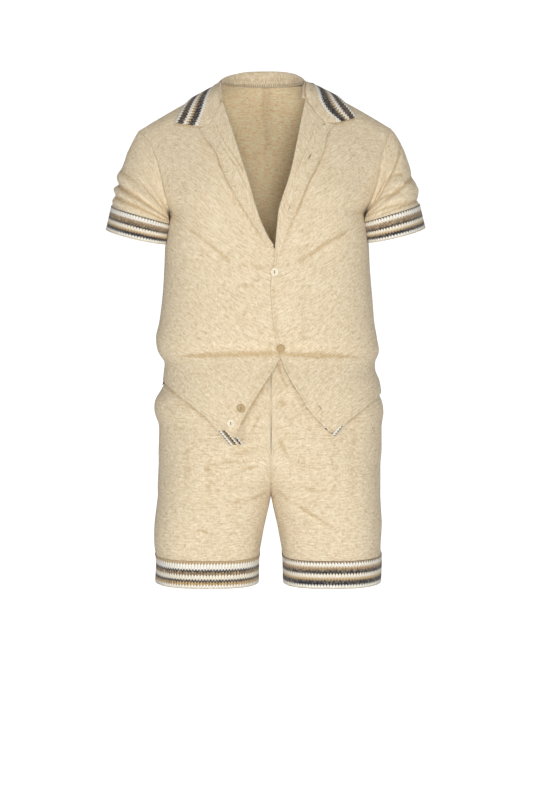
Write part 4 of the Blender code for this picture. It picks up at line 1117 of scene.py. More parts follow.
def shorts_half(side, facing, rows, columns, bare=False):
    """Middle surface of a front (facing -1) or back (+1) of one leg, from the middle seam or
    inseam to the side seam."""
    z = np.asarray(rows, float)
    half = column(SHORTS_SECTIONS, side_column(side), z) - side * CROTCH_X
    depth = column(SHORTS_SECTIONS, "front" if facing < 0 else "back", z)
    fork = np.interp(z, [s.z for s in SHORTS_SECTIONS], [s.fork for s in SHORTS_SECTIONS])
    gap = np.interp(z, [s.z for s in SHORTS_SECTIONS], [s.gap for s in SHORTS_SECTIONS])
    # Each leg is a rounded section about its own centre, cut off above the crotch by the plane of
    # the middle seam: `cut` is the angle at which the seam meets it.
    cut = fork * math.pi / 2
    below = z < CROTCH_Z
    inner_reach = np.where(below, (half - gap) / 2, half / 2)
    centre = np.where(below, (half + gap) / 2, inner_reach * np.sin(cut) ** (2 / THIGH_POWER))
    near = np.where(below, gap, 0) + 0.35 + 0.4 * np.sin(cut) ** 2
    across = (1 - np.cos(math.pi * np.linspace(0, 1, columns + 1))) / 2
    x = near[:, None] + (half - near)[:, None] * across
    off = x - centre[:, None]
    inside = np.clip(-off / inner_reach[:, None], 0, 1)
    outside = np.clip(off / (half - centre)[:, None], 0, 1)
    rise = np.where(off < 0, rounded(inside, THIGH_POWER), rounded(outside, SHORTS_POWER))
    rise[below, 0] = 0.0
    y = facing * (depth[:, None] * rise + SEAM_GAP / 2)
    grid = np.stack([CROTCH_X + side * x, y, np.broadcast_to(z[:, None], x.shape)], axis=2)
    if bare:
        return grid
    x, z = grid[..., 0], grid[..., 2]
    open_cloth = np.clip(np.sin(math.pi * np.linspace(0, 1, columns + 1)), 0, 1)
    ends = soft_step((z - LEG_TAPE_TOP_Z + 4) / 24) * soft_step((SHORTS_TOP_Z - z) / 20)
    normals = outward(grid, grid_normals(grid), (CROTCH_X + side * 100, 0))
    if facing < 0:
        height = fold_height(SHORTS_FOLDS, x, z) * open_cloth**0.5
        grid = grid - np.array([0, 1.0, 0]) * height[..., None] * ends[..., None]
        own = crease_height(SHORTS_CREASES, x, z) + pressed(PRESSED_SHORTS, x, z)
        own = own * np.clip(open_cloth / 0.35, 0, 1)
        covered = 1.0
    else:
        own = crease_height(SHORTS_CREASES, -x + 2 * CROTCH_X, z - 12) * open_cloth**0.7
        # The shirt's back lies on the seat here.
        covered = soft_step((-572 - z) / 30)
    own = own + wrinkles(grid, 130 + facing, 1.25) * 1.15 * np.clip(open_cloth / 0.3, 0, 1)
    return grid + normals * (own * ends * covered * crease_share())[..., None]


@functools.cache
def shorts_panel(side, facing):
    rows = spaced([LEG_HEM_Z, SHORTS_TOP_Z], cell_size())
    return shorts_half(side, facing, rows, SHORTS_COLUMNS)


@functools.cache
def leg_tape(side):
    """The tape round a leg's hem, from the points of the front and the back, moved out."""
    rows = np.linspace(LEG_HEM_Z, LEG_TAPE_TOP_Z, 20)
    front = shorts_half(side, -1, rows, SHORTS_COLUMNS, bare=True)
    back = shorts_half(side, 1, rows, SHORTS_COLUMNS, bare=True)[:, ::-1]
    seam = (front[:, -1:] + back[:, :1]) / 2
    ring = np.concatenate([front[:, :-1], seam, back[:, 1:]], axis=1)
    out = moved(ring, TAPE_OVER, (CROTCH_X + side * 100, 0))
    out[..., 2] = ring[..., 2]
    return out[::-1]


@functools.cache
def waistband_surface():
    """Middle surface of the waistband, a closed ring gathered a little by its elastic."""
    heights = np.linspace(SHORTS_TOP_Z + LAY_GAP + 0.4, WAIST_TOP_Z, 13)
    quarter = []
    for side, facing in ((1, -1), (1, 1), (-1, 1), (-1, -1)):
        grid = shorts_half(side, facing, heights, 60, bare=True)
        grid[..., 1] -= facing * SEAM_GAP / 2
        grid[:, 0, 0] = CROTCH_X
        quarter.append(grid if side * facing < 0 else grid[:, ::-1])
    ring = np.concatenate([q[:, :-1] for q in quarter], axis=1)
    bulge = np.sin(np.linspace(0, math.pi, len(heights)))[:, None]
    gather = 0.45 * np.sin(np.arange(ring.shape[1]) * 0.9) * bulge
    return moved(ring, gather, closed=True)


def hem_turn_surface(turn, deep, inset, share):
    """A strip behind the corner of a front: on the shirt's surface, moved in by `deep`."""
    along = np.linspace(0, share, 30)[:, None]
    across = np.linspace(inset, 1 - inset, 13)[None]
    x = turn.x0 + (turn.x1 - turn.x0) * across + turn.run_x * along
    z = turn.z0 + (turn.z1 - turn.z0) * across + turn.run_z * along
    base = shirt_base(x, z)
    return base - shirt_normals(x, z) * (deep - SEAM_GAP / 2)


# Meshes

def placed(name, data):
    """An object for a mesh, lamp or camera, put in the scene."""
    made = bpy.data.objects.new(name, data)
    bpy.context.scene.collection.objects.link(made)
    return made


def joined(grid, closed):
    """The grid, with its first column again at its end if it goes all round."""
    return np.concatenate([grid, grid[:, :1]], axis=1) if closed else grid


def cloth_piece(name, grid, thickness, node, slot, materials, closed=False, band=None):
    """A cloth wall over its CAD node: the surface through a grid, thickened evenly by Solidify.

    Its cloth_map holds real lengths in metres. On a tape, `band` is the axis of the grid that runs
    across it, and the map's second number is then the share of the tape's width."""
    rows, columns = grid.shape[:2]
    turned_out = faces_out(grid, grid_normals(grid, closed), middle_of(grid))
    ring = joined(grid, closed)
    u, v = run_lengths(ring, 1), run_lengths(ring, 0)
    if band is not None:
        wide, long = (v, u) if band == 0 else (u, v)
        wide = wide / np.take(wide, [-1], axis=band)
        u, v = long, wide / MM
    faces, places = [], []
    for i in range(rows - 1):
        for j in range(columns if closed else columns - 1):
            corners = [(i, j), (i, j + 1), (i + 1, j + 1), (i + 1, j)]
            corners = corners if turned_out else corners[::-1]
            faces.append([a * columns + b % columns for a, b in corners])
            places += [(u[a, b] * MM, v[a, b] * MM) for a, b in corners]
    mesh = bpy.data.meshes.new(name)
    mesh.from_pydata((grid.reshape(-1, 3) * MM).tolist(), [], faces)
    mesh.uv_layers.new(name="cloth_map").data.foreach_set("uv", np.array(places).ravel())
    mesh.shade_smooth()
    # How hollow the cloth is at each point: where the material paints shade in creases and a highlight
    # on their crests.
    hollow = mesh.attributes.new("cloth_hollow", "FLOAT", "POINT")
    hollow.data.foreach_set("value", hollows(grid, closed).ravel())
    for material in materials:
        mesh.materials.append(material)
    piece = placed(name, mesh)
    solidify = piece.modifiers.new("wall", "SOLIDIFY")
    solidify.thickness = thickness * MM
    solidify.offset = 0.0
    solidify.material_offset = len(materials) - 1
    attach(piece, "root")
    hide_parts(node)
    return piece


def declare_cloth(grid, closed=False):
    """Works out a piece's cut: the longest row and column of its surface, and its area; it keeps none
    of them.
    """
    ring = joined(grid, closed)
    width = run_lengths(ring, 1)[:, -1].max() * MM
    length = run_lengths(ring, 0)[-1].max() * MM
    first = np.cross(ring[1:, 1:] - ring[:-1, :-1], ring[1:, :-1] - ring[:-1, 1:])
    area = np.linalg.norm(first, axis=2).sum() / 2 * MM * MM
    area = float(min(area, width * length))


def point_at(place, run, points):
    """The point at a distance along a line whose points lie at the distances `run`."""
    return np.array([np.interp(place, run, points[:, k]) for k in range(3)])


def edge_run(grid, edge, inset):
    """Points and outward normals `inset` in from the first or last row or column of a grid."""
    normals = outward(grid, grid_normals(grid), middle_of(grid))
    axis = 0 if edge in ("first_row", "last_row") else 1
    if edge.startswith("last"):
        grid, normals = np.flip(grid, axis), np.flip(normals, axis)
    if axis == 0:
        grid, normals = grid.transpose(1, 0, 2), normals.transpose(1, 0, 2)
    run = run_lengths(grid, 1)
    points, turns = [], []
    for along, row, turn in zip(run, grid, normals):
        points.append(point_at(inset, along, row))
        turns.append(point_at(inset, along, turn))
    return np.array(points), np.array(turns)


STITCH = 0.36
THREAD_SIDES = 5


def stitched_line(build, points, normals, lift, pitch=3.0, length=2.0, thread=STITCH):
    """Adds evenly spaced stitches along a line: short round threads, sunk at both ends."""
    run = np.concatenate([[0], np.cumsum(np.linalg.norm(np.diff(points, axis=0), axis=1))])
    for start in np.arange(pitch / 2, run[-1] - length, pitch):
        rings = []
        for share, sink, girth in ((0, -0.9, 0.5), (0.22, 0, 1), (0.78, 0, 1), (1, -0.9, 0.5)):
            at = start + length * share
            place = point_at(at, run, points)
            ahead = point_at(at + 0.4, run, points) - place
            up = unit(point_at(at, run, normals))
            aside = unit(np.cross(up, ahead))
            centre = place + up * (lift + thread * sink * 0.5)
            ring = []
            for turn in range(THREAD_SIDES):
                angle = turn * math.tau / THREAD_SIDES
                spot = centre + thread * girth * (math.cos(angle) * aside + math.sin(angle) * up)
                ring.append(build.verts.new(Vector(spot) * MM))
            rings.append(ring)
        for near, far in zip(rings, rings[1:]):
            for k in range(THREAD_SIDES):
                after = (k + 1) % THREAD_SIDES
                build.faces.new((near[k], near[after], far[after], far[k]))
        build.faces.new(rings[0][::-1])
        build.faces.new(rings[-1])


def loose_piece(name, build, material, smooth=True):
    """A small piece made of a finished bmesh."""
    bmesh.ops.recalc_face_normals(build, faces=build.faces)
    mesh = bpy.data.meshes.new(name)
    build.to_mesh(mesh)
    build.free()
    if smooth:
        mesh.shade_smooth()
    mesh.materials.append(material)
    piece = placed(name, mesh)
    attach(piece, "root")
    return piece


def stitching(name, lines, material, lift, pitch=3.0, length=2.0, thread=STITCH):
    """One object with all the stitches of some lines, each a pair of points and normals."""
    build = bmesh.new()
    for points, normals in lines:
        stitched_line(build, points, normals, lift, pitch, length, thread)
    return loose_piece(name, build, material)


def seam_bead(name, points, normal, thread, girth):
    """Close stitches along the line where two panels meet, which leave no slit between them."""
    line = (points, np.tile(np.array(normal, float), (len(points), 1)))
    return stitching(name, [line], sewing_thread(thread), CLOTH / 2 - girth, 2.6, 2.5, girth)


# Colours and materials

def linear(hex_colour):
    """An sRGB hex colour as linear red, green and blue."""
    shares = [int(hex_colour[i: i + 2], 16) / 255 for i in (1, 3, 5)]
    return tuple(s / 12.92 if s <= 0.04045 else ((s + 0.055) / 1.055) ** 2.4 for s in shares)


def add_node(tree, kind, values=None, links=None, stops=None, **settings):
    """Adds a node with its settings, input values, links and, on a ramp, its colour stops."""
    made = tree.nodes.new(kind)
    for key, value in settings.items():
        setattr(made, key, value)
    for key, value in (values or {}).items():
        made.inputs[key].default_value = value
    for key, source in (links or {}).items():
        tree.links.new(source, made.inputs[key])
    if stops:
        ramp = made.color_ramp
        while len(ramp.elements) > 1:
            ramp.elements.remove(ramp.elements[-1])
        ramp.elements[0].position = stops[0][0]
        ramp.elements[0].color = (*stops[0][1], 1)
        for place, colour in stops[1:]:
            ramp.elements.new(place).color = (*colour, 1)
    return made


def noise(tree, place, size, detail, roughness=0.5, distortion=0.0):
    """Cloudy noise with features about `size` metres apart."""
    values = {"Scale": 1 / size, "Detail": detail, "Roughness": roughness, "Distortion": distortion}
    return add_node(tree, "ShaderNodeTexNoise", values, {"Vector": place}).outputs["Fac"]


def maths(tree, operation, *terms):
    """The result of an operation on numbers and other nodes' outputs."""
    numbers = {k: term for k, term in enumerate(terms) if isinstance(term, (int, float))}
    sockets = {k: term for k, term in enumerate(terms) if k not in numbers}
    return add_node(tree, "ShaderNodeMath", numbers, sockets, operation=operation).outputs[0]


def spread(tree, value, **ends):
    """A value carried from one range to another: the ends that differ from 0 and 1 are given."""
    named = {key.replace("_", " ").title(): end for key, end in ends.items()}
    return add_node(tree, "ShaderNodeMapRange", named, {"Value": value}).outputs[0]


def coloured(tree, share, stops):
    return add_node(tree, "ShaderNodeValToRGB", links={"Fac": share}, stops=stops)


def multiplied(tree, colour, by):
    return add_node(
        tree, "ShaderNodeMix", {0: 1.0}, {6: colour, 7: by}, data_type="RGBA",
        blend_type="MULTIPLY").outputs[2]


def bump(tree, height, strength, distance, **under):
    """The normal bumped by a height, over another bump if one is given."""
    links = {"Height": height, **{key.title(): normal for key, normal in under.items()}}
    return add_node(
        tree, "ShaderNodeBump", {"Strength": strength, "Distance": distance}, links).outputs[0]


def new_material(name):
    """A material with its node tree, its shader and the place of each point on the object."""
    material = bpy.data.materials.new(name)
    material.use_nodes = True
    tree = material.node_tree
    place = add_node(tree, "ShaderNodeTexCoord").outputs["Object"]
    return material, tree, tree.nodes["Principled BSDF"], place


def set_shader(tree, shader, values, links):
    """Puts the values that are the same all over, and the links, on the shader's own sockets."""
    for key, value in values.items():
        shader.inputs[key].default_value = value
    for key, source in links.items():
        tree.links.new(source, shader.inputs[key])


@functools.cache
def slubby_linen_cotton(face):
    """Linen and cotton plain weave spun with slubs, washed soft and left matt.

    To the eye: a pale straw ground of uneven threads, lighter slubs and darker flecks, fine
    crumpling that catches the light, and no gloss. Shade is painted into the hollows of creases and
    a highlight onto their crests. The inside is the same cloth with its colours brightened and
    warmed: painted light for the light that bounces inside the garment."""
    look = bpy.context.scene.garment_cloth
    pale, ground, deep = tuple(look.pale), tuple(look.ground), tuple(look.deep)
    # Painted shade and highlight of creases: multipliers of the cloth's colour on crests and in
    # hollows.
    painted_shade_at_crests, painted_shade_at_hollows = (1.0, 1.0, 1.0), (0.78, 0.71, 0.60)
    # On the inside the cloth's colours are brightened and warmed: painted light for the light that
    # bounces into the garment. Its painted shade sits where the outside is crested.
    if face == "inside":
        pale, ground, deep = [
            tuple(min(c * w, 0.92) for c, w in zip(x, look.inside_painted_light))
            for x in (pale, ground, deep)]
        painted_shade_at_crests, painted_shade_at_hollows = (0.86, 0.83, 0.8), (0.96, 0.96, 0.96)
    material, tree, shader, place = new_material(f"slubby_linen_cotton_{face}")
    cloth = add_node(tree, "ShaderNodeUVMap", uv_map="cloth_map").outputs["UV"]
    # Real threads are 0.5 mm apart; the weave is drawn five times coarser so that it shows.
    weft, warp = [
        add_node(tree, "ShaderNodeMapping", {"Scale": scale}, {"Vector": cloth}).outputs[0]
        for scale in ((1 / 0.0100, 1 / 0.0026, 1), (1 / 0.0024, 1 / 0.0080, 1))]
    lying = noise(tree, weft, 1.0, 2.0, 0.6, 0.8)
    standing = noise(tree, warp, 1.0, 2.0, 0.6)
    mixed = maths(tree, "MULTIPLY_ADD", standing, 0.45, lying)
    # Slubs 3 to 4 mm across, as the photograph shows them.
    mixed = maths(tree, "MULTIPLY_ADD", noise(tree, place, 0.0034, 4.0, 0.62, 0.4), 0.5, mixed)
    # Drifts of lighter and darker yarn 13 mm wide.
    mixed = maths(tree, "MULTIPLY_ADD", noise(tree, place, 0.013, 3.0, 0.55, 1.6), 0.25, mixed)
    # The four together run from about 0.8 to 1.4.
    shade = spread(tree, mixed, from_min=0.72, from_max=1.48)
    colour = coloured(tree, shade, [(0.12, deep), (0.46, ground), (0.86, pale)])
    # Painted shade and highlight: the hollows of creases are darkened and warmed and their crests kept
    # paler, as light falls on them.
    hollow = add_node(tree, "ShaderNodeAttribute", attribute_name="cloth_hollow").outputs["Fac"]
    painted_crease_shade = coloured(
        tree, spread(tree, hollow, from_min=-1.0),
        [(0.0, painted_shade_at_crests), (0.5, (0.95, 0.945, 0.935)), (1.0, painted_shade_at_hollows)])
    shaded = multiplied(tree, colour.outputs["Color"], painted_crease_shade.outputs["Color"])
    # Crumpling too fine for the mesh: crests 4 to 7 mm apart.
    crumpled = bump(tree, noise(tree, place, 0.0075, 2.0, 0.55, 1.6), 0.6, 0.0016)
    woven = bump(tree, mixed, 0.7, 0.0005, normal=crumpled)
    set_shader(
        tree, shader,
        {"Roughness": 0.92, "Specular IOR Level": 0.22, "Sheen Weight": 0.18,
         "Sheen Roughness": 0.5},
        {"Base Color": shaded, "Normal": woven})
    return material


@functools.cache
def knitted_tape(kind):
    """Striped rib tape, knitted flat in cotton yarns and sewn on round the edges.

    To the eye: bands of white, tan and navy with zigzag edges where the rows of stitches meet,
    darker bands flecked by the second yarn, and a soft ribbed face without gloss."""
    stripes = STRIPES[kind]
    material, tree, shader, place = new_material(f"knitted_tape_{kind}")
    cloth = add_node(tree, "ShaderNodeUVMap", uv_map="cloth_map").outputs["UV"]
    parts = add_node(tree, "ShaderNodeSeparateXYZ", links={0: cloth}).outputs
    # A zigzag of the knit is 4 mm long and is drawn 5.4 mm long so that it shows.
    stitches = maths(tree, "MULTIPLY", parts["X"], 2000 / ZIGZAG_PITCH)
    zigzag = maths(tree, "PINGPONG", stitches, 1.0)
    level = maths(tree, "MULTIPLY_ADD", zigzag, 0.08, parts["Y"])
    level = maths(tree, "SUBTRACT", level, 0.04)
    ends = [0.0] + [stripe.end for stripe in stripes[:-1]]
    yarns, flecks = [
        coloured(tree, level, [
            (end, linear(YARNS[getattr(stripe, name)])) for end, stripe in zip(ends, stripes)])
        for name in ("yarn", "fleck")]
    yarns.color_ramp.interpolation = flecks.color_ramp.interpolation = "CONSTANT"
    speckle = noise(tree, place, 0.0036, 2.0, 0.7)
    flecked = spread(tree, speckle, from_min=0.5, from_max=0.6, to_max=0.9)
    mixed = add_node(
        tree, "ShaderNodeMix", data_type="RGBA",
        links={0: flecked, 6: yarns.outputs["Color"], 7: flecks.outputs["Color"]}).outputs[2]
    # Painted shade: between the stitches each yarn is darkened, where shade falls in the gaps of the
    # knit.
    painted_stitch_shade = spread(tree, zigzag, from_max=0.5, to_min=0.72)
    # Courses of the knit 1.8 mm apart.
    courses = maths(tree, "MULTIPLY", level, TAPE_WIDTH / 1.8)
    knit = maths(tree, "MULTIPLY_ADD", maths(tree, "PINGPONG", courses, 0.5), 1.4, zigzag)
    knit = maths(tree, "MULTIPLY_ADD", speckle, 0.8, knit)
    set_shader(
        tree, shader, {"Roughness": 0.95, "Specular IOR Level": 0.2, "Sheen Weight": 0.2},
        {"Base Color": multiplied(tree, mixed, painted_stitch_shade), "Normal": bump(tree, knit, 0.8, 0.0005)})
    return material


@functools.cache
def horn_look_polyester(tone):
    """Cast polyester turned to look like horn.

    To the eye: satin, pale or honey brown, with cloudy growth bands."""
    look = bpy.context.scene.garment_buttons
    pale, brown = (look.ground, look.pale, look.light), (look.dark, look.ground, look.ground)
    bottom, middle, top = [tuple(colour) for colour in (pale if tone == "pale" else brown)]
    material, tree, shader, place = new_material(f"horn_look_polyester_{tone}")
    # Growth bands 2 mm apart, bent by a slower cloud.
    bands = add_node(
        tree, "ShaderNodeTexWave",
        {"Scale": 1 / 0.002 / 6.28, "Distortion": 5.0, "Detail": 2.0, "Detail Scale": 1.2},
        {"Vector": place}, bands_direction="DIAGONAL").outputs["Fac"]
    clouds = noise(tree, place, 0.005, 3.0)
    colour = coloured(
        tree, maths(tree, "MULTIPLY_ADD", bands, 0.45, clouds),
        [(0.12, bottom), (0.5, middle), (1.0, top)])
    set_shader(
        tree, shader, {"IOR": 1.55, "Coat Weight": 0.15},
        {"Base Color": colour.outputs["Color"],
         "Roughness": spread(tree, clouds, to_min=0.28, to_max=0.45)})
    return material


@functools.cache
def sewing_thread(colour_name):
    """Twisted polyester-cotton thread.

    To the eye: a little glossier than the cloth, with its plies showing."""
    light = tuple(getattr(bpy.context.scene.garment_cloth, colour_name))
    # Painted shade: the grooves between the plies are darkened to 0.62 of the thread's colour.
    dark = tuple(c * 0.62 for c in light)
    material, tree, shader, place = new_material(f"sewing_{colour_name}")
    # Plies 0.5 mm apart along the thread.
    plies = add_node(
        tree, "ShaderNodeTexWave", {"Scale": 1 / 0.0005 / 6.28, "Distortion": 1.0},
        {"Vector": place}, bands_direction="DIAGONAL").outputs["Fac"]
    colour = coloured(tree, plies, [(0.2, dark), (0.7, light)])
    set_shader(
        tree, shader, {"Roughness": 0.7, "Sheen Weight": 0.2},
        {"Base Color": colour.outputs["Color"], "Normal": bump(tree, plies, 0.4, 0.0002)})
    return material


@functools.cache
def matt_white_paint():
    """Matt emulsion on the studio floor: an even pale ground without gloss."""
    look = bpy.context.scene.garment_stage
    material, tree, shader, place = new_material("matt_white_paint")
    floor = tuple(look.floor)
    # Roller marks 30 mm apart, barely lighter and darker.
    colour = coloured(
        tree, noise(tree, place, 0.03, 3.0),
        [(0.3, tuple(c * 0.985 for c in floor)), (0.7, floor)])
    seen = add_node(tree, "ShaderNodeLightPath").outputs["Is Camera Ray"]
    set_shader(
        tree, shader,
        {"Roughness": 1.0, "Specular IOR Level": 0.0, "Emission Color": (*floor, 1)},
        {"Base Color": colour.outputs["Color"],
         "Emission Strength": maths(tree, "MULTIPLY", look.floor_glow, seen)})
    return material


# Sizes and colours that a user may change

def size_setting(name, text, value, low, high):
    """A length in metres."""
    return bpy.props.FloatProperty(
        name=name, description=text, default=value, min=low, max=high, precision=4, unit="LENGTH")


def colour_setting(name, text, value, high=1.0):
    """A colour, given as sRGB hex or as linear shares."""
    value = linear(value) if isinstance(value, str) else value
    return bpy.props.FloatVectorProperty(
        name=name, description=text, default=value, size=3, min=0, max=high, subtype="COLOR")


def power_setting(name, text, value):
    return bpy.props.FloatProperty(
        name=name, description=text, default=value, min=0, max=500, unit="POWER")


def strength_setting(name, text, value):
    return bpy.props.FloatProperty(name=name, description=text, default=value, min=0, max=2)


class ClothSettings(bpy.types.PropertyGroup):
    cell: size_setting(
        "Cell", "Distance between the points of the cloth's mesh", 0.003, 0.002, 0.008)
    thickness: size_setting(
        "Cloth thickness", "Thickness of the cloth's wall", 0.0011, 0.0006, 0.002)
    tape_thickness: size_setting(
        "Tape thickness", "Thickness of the knitted tape", 0.001, 0.0006, 0.002)
    crease_share: bpy.props.FloatProperty(
        name="Crease share", description="Share of their full height that creases have", default=1.0,
        min=0.0, max=1.2, subtype="FACTOR")
    pale: colour_setting("Pale slub", "Colour of the lightest slubs", "#F3E8D0")
    ground: colour_setting("Ground", "Colour of most of the cloth", "#E2CFAF")
    deep: colour_setting("Dark fleck", "Colour of the darkest flecks", "#CBB48D")
    # Brightens and warms the inside: painted light for the light that bounces into the garment.
    inside_painted_light: colour_setting(
        "Inside tint", "Multiplies the cloth's colours on its inside", (1.27, 1.15, 1.04), 1.5)
    seam_thread: colour_setting(
        "Seam thread", "Colour of the thread along edges and seams", "#E4D5B4")
    # This thread also colours the dark blocks in the buttonhole slits, which are painted shade.
    dark_thread: colour_setting(
        "Dark thread", "Colour of the thread of the neck seam and buttonholes", "#8E7A5C")


class ButtonSettings(bpy.types.PropertyGroup):
    radius: size_setting("Radius", "Radius of a button", BUTTON_R * MM, 0.005, 0.009)
    light: colour_setting("Light band", "Colour of the lightest growth bands", "#EFE4CC")
    pale: colour_setting("Pale horn", "Colour of the pale buttons", "#E6D9BC")
    ground: colour_setting("Brown horn", "Colour of the darker buttons", "#B59A6C")
    dark: colour_setting("Dark band", "Colour of the darkest growth bands", "#957B52")


class StageSettings(bpy.types.PropertyGroup):
    key_power: power_setting(
        "Key light", "Power of the large light in front on the left", 14.0)
    front_power: power_setting(
        "Front light", "Power of the light in front that shines into the open neck", 48.0)
    fill_power: power_setting(
        "Fill light", "Power of the weaker light in front on the right", 12.0)
    top_power: power_setting("Top light", "Power of the light overhead", 3.0)
    back_power: power_setting("Back light", "Power of the light behind the garment", 14.0)
    surround: strength_setting("Surround", "Strength of the even light from all round", 0.315)
    floor_glow: strength_setting(
        "Floor glow", "Light that keeps the pale floor as white as the surround", 1.0)
    floor: colour_setting("Floor", "Colour of the floor", "#F8F8F7")


# What several operators share

SIDES = (("right", -1), ("left", 1))


def own_cloth(name, grid, node, faces=("outside", "inside"), **more):
    """A piece of the garment's own cloth."""
    materials = [slubby_linen_cotton(face) for face in faces]
    thick = bpy.context.scene.garment_cloth.thickness / MM
    return cloth_piece(name, grid, thick, node, "oatmeal_cloth", materials, **more)


def striped_tape(name, band, node, kind, across, share=1.0, **more):
    """A piece of the striped tape; `across` is the axis of its grid that runs over its width."""
    tape = bpy.context.scene.garment_cloth.tape_thickness / MM
    return cloth_piece(
        name, band, tape * share, node, "striped_tape", [knitted_tape(kind)], band=across, **more)


def half_wall(setting="thickness"):
    """Distance of a piece's face from its middle surface."""
    return getattr(bpy.context.scene.garment_cloth, setting) / MM / 2


def sewn(name, lines, lift):
    """The stitches of the seams along some lines."""
    return stitching(name, lines, sewing_thread("seam_thread"), lift)


def sewn_tape(name, band, edges, inset):
    """The stitches along the edges of a tape."""
    lines = [edge_run(band, edge, inset) for edge in edges]
    return sewn(name, lines, half_wall("tape_thickness"))


# Operators: one for each piece or group of like pieces, and one for the stage

class GARMENT_OT_shirt_body(bpy.types.Operator):
    """Builds the back and both fronts of the shirt, with their stitching and shoulder seams."""

    bl_idname = "garment.shirt_body"
    bl_label = "Shirt Body"

    def execute(self, context):
        back = back_panel()
        cloth = own_cloth("back_cloth", back, "shirt_back")
        seams = sewn("back_hem_stitches", [edge_run(back, "first_row", HEM_STITCH_IN)], half_wall())
        declare_cloth(back)
        for word, side in SIDES:
            grid = front_panel(side)
            cloth = own_cloth(f"front_{word}_cloth", grid, f"shirt_front_{word}", ("outside",))
            below = grid[: int((grid[:, 0, 2] < ROLL_END_Z).sum())]
            lines = [
                edge_run(below[6:], "first_column", EDGE_STITCH_IN),
                edge_run(grid[:, 5:], "first_row", EDGE_STITCH_IN)]
            seams = sewn(f"front_{word}_stitches", lines, half_wall())
            declare_cloth(grid)
            shoulder = grid[-1] * (1, 0, 1)
            seam_bead(f"shoulder_seam_{word}", shoulder, (0.0, 0.0, 1.0), "seam_thread", 0.5)
        return {"FINISHED"}


class GARMENT_OT_lapels(bpy.types.Operator):
    """Builds the two turned-back lapels with their facing folds and stitch lines."""

    bl_idname = "garment.lapels"
    bl_label = "Lapels"

    def execute(self, context):
        for word, side in SIDES:
            grid = lapel(side)
            cloth = own_cloth(f"lapel_{word}_cloth", grid, f"lapel_{word}")
            lines = [edge_run(grid, "last_column", EDGE_STITCH_IN)]
            seams = sewn(f"lapel_{word}_stitches", lines, half_wall())
            declare_cloth(grid)
        return {"FINISHED"}


class GARMENT_OT_collar(bpy.types.Operator):
    """Builds the collar, the striped tape on its fall and the dark neck seam inside it."""

    bl_idname = "garment.collar"
    bl_label = "Collar"

    def execute(self, context):
        grid = collar_surface()
        cloth = own_cloth("collar_cloth", grid, "collar", ("outside",))
        band = moved(grid, TAPE_OVER)[:, COLLAR_FALL * COLLAR_STEPS:]
        striped = striped_tape("collar_stripes", band, "collar_tape", "collar", 1)
        inner = grid[2 * STATION_STEPS: -2 * STATION_STEPS, :3]
        normals = -outward(inner, grid_normals(inner))
        seam = stitching(
            "neck_seam", [(inner[:, 0] + (0, 0, rise), normals[:, 0]) for rise in NECK_SEAM_RISES],
            sewing_thread("dark_thread"), half_wall(), pitch=4.2, length=2.8, thread=0.7)
        edges = sewn_tape("collar_tape_stitches", band, ("first_column", "last_column"), 1.5)
        declare_cloth(grid)
        declare_cloth(band)
        return {"FINISHED"}


class GARMENT_OT_sleeves(bpy.types.Operator):
    """Builds both sleeves and the striped tapes round their cuffs."""

    bl_idname = "garment.sleeves"
    bl_label = "Sleeves"

    def execute(self, context):
        for word, side in SIDES:
            grid, last = sleeve_surface(side)
            cloth = own_cloth(f"sleeve_{word}_cloth", grid, f"sleeve_{word}", closed=True)
            band = grid[last:]
            band = moved(band, TAPE_OVER, middle_of(band), closed=True)
            striped = striped_tape(
                f"cuff_{word}_stripes", band, f"cuff_tape_{word}", "cuff", 0, closed=True)
            edges = sewn_tape(
                f"cuff_{word}_stitches", band, ("first_row", "last_row"), TAPE_STITCH_IN)
            seam = (grid[0] + armhole_ring(side)) / 2
            seams = stitching(
                f"sleeve_{word}_seam", [(seam, edge_run(grid, "first_row", 1.0)[1])],
                sewing_thread("seam_thread"), half_wall(), pitch=3.0, length=2.9, thread=0.5)
            declare_cloth(
                grid, closed=True)
            declare_cloth(
                band, closed=True)
        return {"FINISHED"}


class GARMENT_OT_hem_corners(bpy.types.Operator):
    """Builds the turned hems and their ends of tape behind the corners of the fronts."""

    bl_idname = "garment.hem_corners"
    bl_label = "Hem Corners"

    def execute(self, context):
        for word, turn in (("right", RIGHT_HEM_TURN), ("left", LEFT_HEM_TURN)):
            grid = hem_turn_surface(turn, HEM_TURN_DEEP, 0.0, 1.0)
            cloth = own_cloth(f"hem_corner_{word}", grid, f"hem_turn_{word}", ("outside",))
            strip = hem_turn_surface(turn, HEM_TAPE_DEEP, 0.1, HEM_TAPE_SHARE)
            striped = striped_tape(
                f"hem_corner_{word}_stripes", strip, f"hem_tape_{word}", "cuff", 1, share=0.9)
            declare_cloth(grid)
            declare_cloth(strip)
        return {"FINISHED"}


